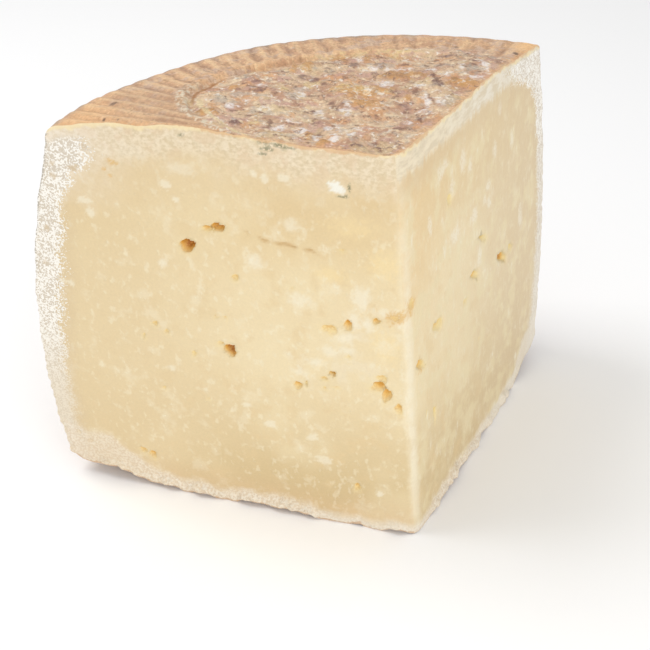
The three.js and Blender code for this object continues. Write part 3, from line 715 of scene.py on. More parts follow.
def crust_relief(points, m):
    """Flaky middle, roughened flutes, basket weave on the side and a pitted underside.

    Flakes are plates() at two sizes. The weave is a cosine of the height times a flattened cosine of the
    turn. Returns how far the skin stands out, each point's flake value and its gap to the next flake.
    """
    x, y, z = points[..., 0], points[..., 1], points[..., 2]
    bend = 0.5 * lumps(x / 4, y / 4, 61), 0.5 * lumps(x / 4, y / 4, 62)
    value, gap = plates(x / FLAKE_SIZE[0] + bend[0], y / FLAKE_SIZE[1] + bend[1], 63)
    small, small_gap = plates(x / SMALL_FLAKE_SIZE[0] + bend[1], y / SMALL_FLAKE_SIZE[1] + bend[0], 60)
    scale = (value - 0.5) * FLAKE_HEIGHT * smooth(gap / 0.4)
    scale = scale + (small - 0.5) * SMALL_FLAKE_HEIGHT * smooth(small_gap / 0.4)
    scale = scale + 0.5 * rough(points, 7, 64) + 0.35 * rough(points, 1.6, 65)
    calm = smooth(m["to_cut"] / 6)
    flaky = m["inside"] * scale * mix(0.25, 1, calm) - 0.5 * m["ochre"] - 0.3 * m["mauve"]
    collar = (1 - m["inside"]) * m["top"] * (0.2 * rough(points, 5, 66) + 0.12 * rough(points, 1.5, 67))
    on_side = (1 - m["top"]) * (1 - m["under"])
    cross = np.cos(m["turn"] / FLUTE_PITCH * np.pi)
    weave = WEAVE_HEIGHT * np.cos(z / WEAVE_PITCH * 2 * np.pi) * cross / np.sqrt(0.25 + cross**2)
    sides = on_side * (weave * smooth(0.9 + 0.7 * rough(points, 18, 68)) + 0.16 * rough(points, 3.2, 69))
    below = m["under"] * 0.3 * rough(points, 4, 70) * smooth((m["radius"] - FOOT_RADIUS + 6) / 8)
    return flaky + collar + sides + below, value, gap


# Putting the two skins together
def column_steps():
    """How many columns each row of the skin skips, halving as the sector narrows or goes out of sight."""
    station = np.arange(2 * BORDER_STEPS + UPRIGHT_STEPS + 1)
    inwards = np.clip(station, 0, BORDER_STEPS) / BORDER_STEPS
    step = np.select([inwards < 0.06, inwards < 0.18, inwards < 0.42], [8, 4, 2], 1)
    past_heel = station - (BORDER_STEPS + UPRIGHT_STEPS + HEEL_STEPS // 2)
    under = np.select([past_heel < 3, past_heel < 6, past_heel < 10], [2, 4, 8], 16)
    return np.where(past_heel > 0, under, step)


def band(upper, lower):
    """Two triangles for each gap between matching rows of vertex numbers."""
    a, b, c, d = upper[..., :-1], upper[..., 1:], lower[..., 1:], lower[..., :-1]
    return np.concatenate([np.stack([a, d, c], -1).reshape(-1, 3), np.stack([a, c, b], -1).reshape(-1, 3)])


def skin_triangles(index, step):
    """Joins neighbouring rows of the skin: two triangles a gap, or three where one row has half as many."""
    made = []
    for high, low in sorted(set(zip(step[:-1].tolist(), step[1:].tolist()))):
        rows = np.flatnonzero((step[:-1] == high) & (step[1:] == low))
        if high == low:
            columns = np.arange(0, ROUND_STEPS + 1, high)
            made.append(band(index[rows][:, columns], index[rows + 1][:, columns]))
            continue
        wide = max(high, low)
        start = np.arange(0, ROUND_STEPS, wide)
        coarse, fine = (index[rows], index[rows + 1]) if high > low else (index[rows + 1], index[rows])
        c0, c1 = coarse[:, start], coarse[:, start + wide]
        f0, f1, f2 = fine[:, start], fine[:, start + wide // 2], fine[:, start + wide]
        corners = [(c0, f0, f1), (c0, f1, c1), (c1, f1, f2)]
        three = np.concatenate([np.stack(t, -1).reshape(-1, 3) for t in corners])
        made.append(three if high > low else three[:, ::-1])
    return np.concatenate(made)


def inset(points, scale):
    """The hidden joint between crust and paste: the skin shrunk towards a point inside the wedge."""
    return HEART + (points - HEART) * scale


def close_behind(right_border, left_border, first):
    """Vertex numbers and triangles of a coarse hidden skin from one cut's border to the other's."""
    rows = len(right_border)
    inner = np.arange(rows * (HIDDEN_SHARES - 1)).reshape(rows, -1) + first
    ladder = np.concatenate([right_border[:, None], inner, left_border[:, None]], 1)
    ladder[0], ladder[-1] = right_border[0], right_border[-1]
    return band(ladder[:-1], ladder[1:])


def tidy_triangles(triangles):
    """Leaves out the triangles that have shrunk to a line at a pole."""
    a, b, c = triangles.T
    return triangles[(a != b) & (b != c) & (c != a)]


def make_piece(name, points, triangles, border, marks):
    """One closed piece from its vertices, triangles, the sharp border of its visible side and its marks.

    Vertices that no triangle uses are left out, so that nothing stray is kept.
    """
    kept = np.unique(triangles)
    number = np.full(len(points), -1)
    number[kept] = np.arange(len(kept))
    triangles, points = number[triangles], (points[kept] + TO_PART) * MM
    mesh = bpy.data.meshes.new(name)
    mesh.vertices.add(len(points))
    mesh.vertices.foreach_set("co", points.astype(np.float32).ravel())
    mesh.loops.add(triangles.size)
    mesh.loops.foreach_set("vertex_index", triangles.astype(np.int32).ravel())
    mesh.polygons.add(len(triangles))
    mesh.polygons.foreach_set("loop_start", np.arange(0, triangles.size, 3, dtype=np.int32))
    mesh.update(calc_edges=True)
    mesh.polygons.foreach_set("use_smooth", np.ones(len(triangles), bool))
    ends = np.empty(len(mesh.edges) * 2, np.int32)
    mesh.edges.foreach_get("vertices", ends)
    ends = np.sort(ends.reshape(-1, 2), 1)
    line = np.sort(number[np.stack([border[:-1], border[1:]], -1)], 1)
    sharp = np.isin(ends @ [len(points), 1], line @ [len(points), 1])
    mesh.attributes.new("sharp_edge", "BOOLEAN", "EDGE").data.foreach_set("value", sharp)
    for mark, values in marks.items():
        spread = np.zeros(len(number), np.float32)
        spread[: values.size] = values.ravel()
        mesh.attributes.new(mark, "FLOAT", "POINT").data.foreach_set("value", spread[kept])
    mesh.validate()
    piece = bpy.data.objects.new(name, mesh)
    bpy.context.scene.collection.objects.link(piece)
    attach(piece, "root")
    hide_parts("cheese_wedge")
    return piece


def outward_of(sections):
    """Outward directions of the skin: its two grid directions' cross product, upright at the poles."""
    down, round_ = np.gradient(sections, axis=0), np.gradient(sections, axis=1)
    normal = np.cross(round_, down)
    normal[0], normal[-1] = (0, 0, 1), (0, 0, -1)
    length = np.linalg.norm(normal, axis=-1, keepdims=True)
    return normal / np.maximum(length, 1e-9)


def in_cut_plane(points, share):
    """A border's (distance from the near edge, height) in its own cut plane."""
    ex, ey = edge_at(points[..., 2])
    angle = cut_angle(share)
    return (points[..., 0] - ex) * np.cos(angle) + (points[..., 1] - ey) * np.sin(angle), points[..., 2]


def face_grid(border, share, rise):
    """A cut face between its four borders: straight blends both ways, less the blend of the corners.

    border is the skin's section at that cut, from the head down to the foot; the fourth border is the
    near edge, with its steps at rise. Returns distances and heights, near edge first, base first.
    """
    n, m = BORDER_STEPS, UPRIGHT_STEPS
    line = np.stack(in_cut_plane(border, share), -1)
    top, outer, base = line[: n + 1], line[n : n + m + 1][::-1], line[n + m :][::-1]
    near = np.stack([0 * rise, mix(base[0, 1], top[0, 1], rise)], -1)
    u, v = np.linspace(0, 1, n + 1)[:, None, None], np.linspace(0, 1, m + 1)[None, :, None]
    across = (1 - v) * base[:, None] + v * top[:, None]
    upright = (1 - u) * near[None] + u * outer[None]
    corners = (1 - u) * ((1 - v) * base[0] + v * top[0]) + u * ((1 - v) * base[-1] + v * top[-1])
    grid = across + upright - corners
    return grid[..., 0], grid[..., 1]


def unfolded_faces(right_border, left_border):
    """Both cut faces as one grid of signed distance and height, left cut first, joined at the near edge."""
    upright = slice(BORDER_STEPS, BORDER_STEPS + UPRIGHT_STEPS + 1)
    tall = np.stack([right_border[upright][::-1, 2], left_border[upright][::-1, 2]])
    rise = ((tall - tall[:, :1]) / (tall[:, -1:] - tall[:, :1])).mean(0)
    right_d, right_z = face_grid(right_border, 0, rise)
    left_d, left_z = face_grid(left_border, 1, rise)
    return np.concatenate([-left_d[::-1], right_d[1:]]), np.concatenate([left_z[::-1], right_z[1:]])


def border_gaps(distance, height):
    """How far each point lies above the base, below the top and in from the side, in millimetres."""
    n = BORDER_STEPS
    gaps = np.empty((3,) + distance.shape)
    for part, flip, edge in ((slice(0, n + 1), -1, 0), (slice(n, 2 * n + 1), 1, 2 * n)):
        d, z = np.abs(distance[part]), height[part]
        gaps[0, part] = z - np.interp(d, d[::flip, 0], z[::flip, 0])
        gaps[1, part] = np.interp(d, d[::flip, -1], z[::flip, -1]) - z
        gaps[2, part] = np.interp(z, height[edge], np.abs(distance[edge])) - d
    return np.maximum(gaps, 0)


def face_points(distance, height, out):
    """Unfolded face points in space: on their cut plane, blunted at the near edge, then moved outwards."""
    flat = blunt(spot(np.abs(distance), height, np.where(distance < 0, 1.0, 0.0)))
    turn = smooth(0.5 + distance / (2 * BLUNT_REACH))[..., None]
    outward = mix(cut_outward(1), cut_outward(0), turn)
    return flat + out[..., None] * outward / np.linalg.norm(outward, axis=-1, keepdims=True)


def border_numbers(index):
    """The vertex numbers of the faces' borders at the right and left cut, from the head to the foot."""
    right, left = index[BORDER_STEPS:], index[BORDER_STEPS::-1]
    return [np.concatenate([side[:, -1], side[-1, -2:0:-1], side[::-1, 0]]) for side in (right, left)]


def make_cheese():
    """Works out the skin and both cut faces, and makes the paste and the crust from them."""
    share = stations(ROUND_STEPS, 0.5)
    skin = skin_sections(share)
    skin[0] = skin[0, ROUND_STEPS // 2]
    skin[-1, :, :2], skin[-1, :, 2] = edge_at(0.0), 0
    masks = crust_masks(skin, share)
    relief, flake, flake_gap = crust_relief(skin, masks)
    relief[0], relief[-1] = 0, 0
    skin = skin + relief[..., None] * outward_of(skin)

    distance, height = unfolded_faces(skin[:, 0], skin[:, -1])
    fixed = np.zeros(distance.shape, bool)
    fixed[[0, -1]], fixed[:, [0, -1]] = True, True
    distance, height = gather_to_eyes(distance, height, fixed)
    above_base, below_top, to_side = border_gaps(distance, height)
    out, scar, crack = face_relief(distance, height, above_base, below_top, to_side)
    moved, lifted, hollow, roof, lower_rim_light = eye_hollows(distance, height, fixed)
    faces = face_points(moved, lifted, out - hollow)
    head, foot = (BORDER_STEPS, UPRIGHT_STEPS), (BORDER_STEPS, 0)

    skin = blunt(skin)
    index = np.arange(faces[..., 0].size).reshape(faces.shape[:2])
    right, left = border_numbers(index)
    flat = faces.reshape(-1, 3)
    for cut, border in ((0, right), (-1, left)):
        gap = np.linalg.norm(skin - skin[:, [cut]], axis=-1)
        pull = (flat[border] - skin[:, cut])[:, None] * np.exp(-((gap / BORDER_REACH) ** 2))[..., None]
        skin = skin + pull
    skin[0], skin[-1] = faces[head], faces[foot]
    skin[:, 0], skin[:, -1] = flat[right], flat[left]

    columns = np.rint(np.linspace(0, ROUND_STEPS, HIDDEN_SHARES + 1)[1:-1]).astype(int)
    behind = inset(skin[:, columns], PASTE_SCALE)
    hidden = close_behind(right, left, index.size)
    seen = band(index[:-1], index[1:])
    paste_marks = dict(
        side=np.where(distance < 0, 1.0, 0.0), above_base=above_base, below_top=below_top, to_side=to_side,
        hollow=hollow, roof=roof, lower_rim_light=lower_rim_light, scar=scar, crack=crack, across=distance, height=height,
        chalk=chalk_place(distance, height, to_side),
        brown=spots_mask(distance, height, BROWN_SPOTS, 85),
        mould=spots_mask(distance, height, MOULD_SPOTS, 87),
        pale=spots_mask(distance, height, PALE_SPOTS, 81),
        blue=spots_mask(distance, height, BLUE_SPOTS, 84),
        cloud=spots_mask(distance, height, CLOUD_SPOTS, 88, 1.3),
        warm=spots_mask(distance, height, WARM_SPOTS, 89, 1.6),
        dragged=spots_mask(-distance, height, DRAG_SPOTS, 90, 0.9))
    line = np.concatenate([right, left[-2:0:-1], right[:1]])
    paste = make_piece(
        "cheese_paste", np.concatenate([flat, behind.reshape(-1, 3)]),
        tidy_triangles(np.concatenate([seen, hidden])), line, paste_marks)

    step = column_steps()
    index = np.arange(skin[..., 0].size).reshape(skin.shape[:2])
    index[0], index[-1] = index[0, 0], index[-1, 0]
    right, left = index[:, 0], index[:, -1]
    behind = inset(skin[:, columns], CRUST_SCALE)
    hidden = close_behind(right, left, index.size)[:, ::-1]
    seen = skin_triangles(index, step)
    line = np.concatenate([right, left[-2:0:-1], right[:1]])
    crust_marks = dict(masks, lifted=relief, flake=flake, flake_gap=flake_gap)
    crust = make_piece(
        "cheese_crust", np.concatenate([skin.reshape(-1, 3), behind.reshape(-1, 3)]),
        tidy_triangles(np.concatenate([seen, hidden])), line, crust_marks)
    return paste, crust


# Shader maths
def shade(red, green, blue):
    """A colour given as screen values from 0 to 255, as linear light."""
    screen = np.array([red, green, blue]) / 255
    linear = np.where(screen <= 0.04045, screen / 12.92, ((screen + 0.055) / 1.055) ** 2.4)
    return (*linear.tolist(), 1.0)


class Value:
    """A number or colour in a material, so that shader maths reads as plain expressions."""

    def __init__(self, paint, socket):
        self.paint, self.socket = paint, socket

    def math(self, operation, *others, clamp=False):
        """Adds a Math node that works on this value and the others."""
        settings = dict(operation=operation, use_clamp=clamp)
        return self.paint.node("ShaderNodeMath", settings, {i: v for i, v in enumerate((self, *others))})

    def __add__(self, other):
        return self.math("ADD", other)

    def __mul__(self, other):
        return self.math("MULTIPLY", other)

    __radd__, __rmul__ = __add__, __mul__

    def __sub__(self, other):
        return self.math("SUBTRACT", other)

    def __rsub__(self, other):
        return self * -1 + other

    def clamped(self):
        """The value, kept between 0 and 1."""
        return self.math("ADD", 0.0, clamp=True)

    def smooth(self, low, high):
        """0 at low, 1 at high (or the other way round), with a soft start and end."""
        settings = dict(interpolation_type="SMOOTHSTEP", clamp=True)
        sockets = {"Value": self, "From Min": low, "From Max": high}
        if low > high:
            sockets = {"Value": self, "From Min": high, "From Max": low, "To Min": 1.0, "To Max": 0.0}
        return self.paint.node("ShaderNodeMapRange", settings, sockets)


class Paint:
    """One material: its nodes are made and linked through node()."""

    def __init__(self, name, roughness=0.6):
        self.material = bpy.data.materials.new(name)
        self.material.use_nodes = True
        self.tree = self.material.node_tree
        self.surface = self.tree.nodes["Principled BSDF"]
        self.surface.inputs["Roughness"].default_value = roughness
        place = self.node("ShaderNodeTexCoord", {}, {}, "Object")
        self.place = self.node("ShaderNodeVectorMath", dict(operation="SCALE"), {0: place, "Scale": 1 / MM})

    def node(self, kind, settings, sockets, output=0):
        """Adds a node, makes its settings, then gives its sockets values or links."""
        made = self.tree.nodes.new(kind)
        for name, value in settings.items():
            setattr(made, name, value)
        for name, value in sockets.items():
            if isinstance(value, Value):
                self.tree.links.new(value.socket, made.inputs[name])
            else:
                made.inputs[name].default_value = value
        return Value(self, made.outputs[output])

    def mark(self, name):
        """A number that the mesh carries at its vertices."""
        return self.node("ShaderNodeAttribute", dict(attribute_name=name), {}, "Fac")

    def stretched(self, along, seed=0.0, place=None):
        """A place in millimetres, Object coordinates if none is given, divided by a size each way."""
        scale = tuple(1 / v for v in along)
        shift = (seed, seed * 0.7, seed * 1.3)
        sockets = {"Vector": place or self.place, "Location": shift, "Scale": scale}
        return self.node("ShaderNodeMapping", {}, sockets)

    def noise(self, size, seed=0.0, detail=3.0, rough=0.55, stretch=(1, 1, 1), place=None):
        """Cloudy noise from 0 to 1, size in millimetres."""
        where = self.stretched([size * v for v in stretch], seed, place)
        sockets = {"Vector": where, "Scale": 1.0, "Detail": detail, "Roughness": rough}
        return self.node("ShaderNodeTexNoise", {}, sockets)

    def blend(self, low, high, factor):
        """low where factor is 0, high where it is 1."""
        return self.node("ShaderNodeMix", dict(data_type="RGBA"), {0: factor, 6: low, 7: high}, 2)

    def layers(self, color, coats):
        """Coats laid over a colour in turn, each as (its tone, how strongly it covers)."""
        for tone, factor in coats:
            color = self.blend(color, tone if isinstance(tone, Value) else shade(*tone), factor)
        return color

    def tint(self, color, strength):
        """color made brighter or darker by a factor that varies."""
        grey = self.node("ShaderNodeCombineColor", {}, {0: strength, 1: strength, 2: strength})
        settings = dict(data_type="RGBA", blend_type="MULTIPLY")
        return self.node("ShaderNodeMix", settings, {0: 1.0, 6: color, 7: grey}, 2)

    def finish(self, color, bump, distance, roughness=None):
        """Links colour and a bump height (1 stands distance millimetres high) to the surface."""
        self.tree.links.new(color.socket, self.surface.inputs["Base Color"])
        if roughness is not None:
            self.tree.links.new(roughness.socket, self.surface.inputs["Roughness"])
        sockets = {"Height": bump, "Distance": distance * MM, "Strength": 1.0}
        normal = self.node("ShaderNodeBump", {}, sockets)
        self.tree.links.new(normal.socket, self.surface.inputs["Normal"])
        return self.material


def paste_finish():
    """Straw paste with pale crystals, greyer under the top crust, chalky by the side, rough at the lip."""
    p = Paint("cheese_paste_finish", 0.5)
    below_top, to_side, above_base = p.mark("below_top"), p.mark("to_side"), p.mark("above_base")
    hollow, scar, crack, side = (p.mark(n) for n in ("hollow", "scar", "crack", "side"))
    height, across, pale, blue, mould = (p.mark(n) for n in ("height", "across", "pale", "blue", "mould"))
    chalk, brown, roof, lower_rim_light = (p.mark(n) for n in ("chalk", "brown", "roof", "lower_rim_light"))
    clouded, warmed, dragged = (p.mark(n) for n in ("cloud", "warm", "dragged"))
    left, right = side, 1 - side
    wide, cloud, fine = p.noise(30, 1.0, detail=2), p.noise(7, 2.0, detail=4), p.noise(0.7, 3.0, detail=3)
    speckled = p.noise(0.7, 22.0, detail=2).smooth(0.38, 0.6)

    # Painted shade: the straw tone is laid darker towards the foot and again high up near the crust
    straw_and_shade = p.blend(shade(211, 186, 138), shade(234, 214, 172), height.smooth(2, 62))
    straw_and_shade = p.layers(straw_and_shade, [
        ((225, 199, 150), height.smooth(80, 114)),
        ((238, 221, 181), wide.smooth(0.42, 0.66) * 0.5),
        ((226, 200, 152), cloud.smooth(0.5, 0.68) * 0.5),
        ((218, 195, 156), right * across.smooth(20, 100) * 0.8),
        ((230, 201, 150), right * (across.smooth(40, 4) * height.smooth(60, 100)) * 0.8),
        ((232, 216, 174), right * p.noise(9, 21.0, detail=3).smooth(0.48, 0.64) * 0.6),
        ((242, 218, 164), warmed * left * 0.6),
        ((225, 202, 158), across.smooth(-40, -90) * 0.75)])

    patch = p.noise(6, 4.0, detail=3, rough=0.6).smooth(0.54, 0.7)
    soft = p.noise(2.6, 5.0, detail=2, stretch=(0.9, 0.9, 1.2)).smooth(0.56, 0.72)
    small = p.noise(1.0, 6.0, detail=2, stretch=(0.9, 0.9, 1.2)).smooth(0.66, 0.76)
    crystals = (patch * 0.35 + soft * 0.45 + small * (patch + 0.35) * 0.65).clamped()
    drag = p.noise(2.2, 7.0, detail=3, stretch=(0.6, 0.6, 2.6)).smooth(0.54, 0.68) * (0.2 + patch)
    color = p.blend(straw_and_shade, shade(243, 233, 206), crystals * (left * 0.35 + 0.5))
    color = p.layers(color, [
        ((241, 232, 210), drag.clamped() * right * 0.6),
        ((241, 232, 211), dragged * right * fine.smooth(0.3, 0.5) * 0.6),
        ((243, 235, 212), clouded * left * (cloud + 0.45).clamped() * 0.6)])
    # Painted highlight: a paler strip along the rounded near edge, fainter high up and at the foot
    edge = across + (cloud - 0.5) * 2
    near = edge.smooth(5.5, 1.6) * edge.smooth(-2.4, 1.0) * (cloud.smooth(0.38, 0.58) * 0.35 + 0.4)
    near = near * (height.smooth(112, 84) * 0.5 + 0.5) * (height.smooth(2, 34) * 0.4 + 0.6)
    color = p.layers(color, [
        ((242, 232, 206), near),
        ((242, 232, 206), scar * cloud.smooth(0.46, 0.62) * 0.4)])

    grey = (below_top + (p.noise(9, 8.0, detail=4) - 0.5) * 16).smooth(16, 3)
    mottle = p.noise(1.2, 9.0, detail=4, rough=0.62, stretch=(1.2, 1.2, 0.9)).smooth(0.36, 0.66)
    grey_tone = p.blend(shade(217, 198, 164), shade(240, 225, 200), mottle)
    pinkish = p.noise(4.5, 29.0, detail=3).smooth(0.48, 0.62)
    grey_tone = p.blend(grey_tone, shade(226, 198, 166), pinkish * 0.45)
    color = p.layers(color, [
        ((222, 198, 158), below_top.smooth(30, 14) * left * 0.3),
        (grey_tone, grey * left * 0.75)])
    corner = across.smooth(-70, -100) * (below_top + (cloud - 0.5) * 20).smooth(28, 8) * left
    color = p.blend(color, shade(242, 231, 214), corner * (mottle * 0.4 + 0.45))
    band = (below_top + (p.noise(3, 10.0, stretch=(0.6, 0.6, 2.5)) - 0.5) * 7).smooth(9.0, 5.5)
    band_grain = p.noise(2.2, 25.0, detail=4, rough=0.6, stretch=(2.4, 2.4, 0.8)).smooth(0.36, 0.62)
    band_pale = p.blend(shade(238, 226, 200), shade(236, 229, 214), across.smooth(20, 60))
    band_tone = p.blend(shade(218, 204, 178), band_pale, band_grain)
    color = p.layers(color, [
        (band_tone, band * right * 0.8),
        ((214, 188, 148), below_top.smooth(17, 8) * (1 - band) * right * 0.5)])

    dot = p.noise(0.55, 12.0, detail=1, rough=0.5)
    wander = (p.noise(5, 11.0, detail=5, rough=0.6) - 0.5) * 1.0 - (dot - 0.5) * 1.3
    under_top = below_top.smooth(2.0, 5.0) * left + below_top.smooth(0.6, 2.0) * right
    low = height.smooth(64, 26)
    sharp_edge, soft_edge = (chalk + wander).smooth(1.12, 0.9), (chalk + wander * 0.8).smooth(1.4, 0.6)
    chalky = p.blend(sharp_edge, soft_edge, low) * under_top
    clots = dot + (p.noise(1.7, 19.0, detail=2) - 0.5) * 0.55 + (cloud - 0.5) * 0.2
    dots = (clots - height.smooth(104, 120) * left * 0.05).smooth(0.55, 0.41)
    shadow = (chalk + wander * 0.6).smooth(1.9, 1.1) * (height.smooth(110, 92) * 0.4 + 0.1)
    color = p.blend(color, shade(216, 192, 152), shadow)
    white = p.blend(shade(251, 247, 238), shade(237, 229, 214), low + right * height.smooth(98, 80) * 0.8)
    chalk_tone = p.blend(white, shade(206, 192, 171), dots * (0.85 - low * 0.35))
    color = p.blend(color, chalk_tone, chalky * (0.97 - low * left * 0.3))
    outline = (to_side + (cloud - 0.5) * 0.8).smooth(0.7, 0.3) * height.smooth(66, 90)
    color = p.blend(color, shade(172, 166, 154), outline * dot.smooth(0.6, 0.45) * 0.75)

    color = p.layers(color, [
        ((241, 231, 206), pale * 0.65),
        ((244, 241, 228), mould * 0.95),
        ((130, 128, 98), blue * dot.smooth(0.34, 0.48) * 0.85),
        ((200, 158, 98), crack * 0.7)])
    wall = p.blend(shade(230, 192, 122), shade(243, 216, 150), speckled)
    wall = p.blend(wall, shade(232, 210, 138), right * 0.7)
    # Painted light where each eye's lower rim catches the light
    color = p.blend(color, shade(240, 218, 166), lower_rim_light * (0.3 + speckled * 0.3))
    brown_tone = p.blend(shade(224, 186, 122), shade(212, 190, 156), chalk.smooth(1.6, 1.0))
    color = p.layers(color, [
        (brown_tone, brown * speckled.smooth(-0.8, 0.6) * 0.85),
        # The eyes' own gold, laid on more strongly up each eye and deeper in, which is partly painted shade
        (wall, hollow.smooth(0.05, 0.5) * (roof * 0.5 + 0.45)),
        ((242, 184, 52), hollow.smooth(0.5, 1.5) * (roof * 0.4 + 0.55))])
    # Painted shade in the eyes: darker gold up under each rim and brown at the bottom of the deep ones
    deepest_shade = hollow.smooth(0.9, 2.3) * (speckled * -0.4 + 1.1)
    color = p.layers(color, [
        ((206, 140, 40), roof.smooth(0.3, 1.0) * hollow.smooth(0.4, 1.2) * 0.6),
        ((176, 104, 16), deepest_shade.clamped() * 0.85)])

    foot_high = across.smooth(-78, -106) * 9 + across.smooth(84, 98) * 6
    thin = across.smooth(-40, -24) * across.smooth(14, 2)
    # Painted shade: the left cut darkens towards its foot, in clouds
    color = p.blend(color, shade(222, 190, 148), above_base.smooth(16, 3) * (cloud + 0.1) * left * 0.6)
    uneven = (p.noise(5, 13.0, detail=4) - 0.5) * (thin * -4 + 6)
    foot = (above_base - foot_high + thin * 1.4 + uneven).smooth(6.5, 2.5)
    foot_grain = p.noise(0.8, 14.0, detail=3).smooth(0.38, 0.62)
    foot_tone = p.blend(shade(229, 210, 183), shade(246, 235, 215), foot_grain)
    foot_tone = p.blend(foot_tone, shade(240, 232, 216), across.smooth(30, 80) * 0.7 + thin * 0.5)
    color = p.blend(color, foot_tone, foot * (0.94 - foot_high * 0.03))
    burnt = (above_base + (p.noise(3, 15.0, detail=4) - 0.5) * 4).smooth(1.2, 0.3)
    color = p.blend(color, shade(204, 162, 118), burnt * (0.2 + left * 0.5))

    # A yellow line under the top arris: partly the paste's own yellow rim, partly a painted highlight
    drift = (p.noise(3, 16.0, detail=4) - 0.5) * 2.4
    yellow = (below_top + drift * 1.3 + across.smooth(-54, -46) * 0.6).smooth(1.4, 0.4) * left
    yellow = yellow + (below_top + drift * 1.8).smooth(1.5, 0.4) * right
    color = p.blend(color, shade(244, 224, 176), yellow * 0.75)
    ragged = (p.noise(5, 17.0, detail=5, rough=0.6) - 0.5) * 4
    brown_line = (below_top + ragged + (across + 60).smooth(10, -6) * 1.2).smooth(0.8, 0.2)
    color = p.blend(color, shade(220, 174, 126), brown_line * 0.65)

    # Painted shade: the fine noise that raises the bump below also darkens its low places a little
    color = p.tint(color, fine * 0.12 + 0.94)
    bump = fine * 0.35 + small * 0.3 + chalky * 0.3 + p.noise(0.8, 18.0, detail=4) * foot * 2.0
    return p.finish(color, bump, 0.22)


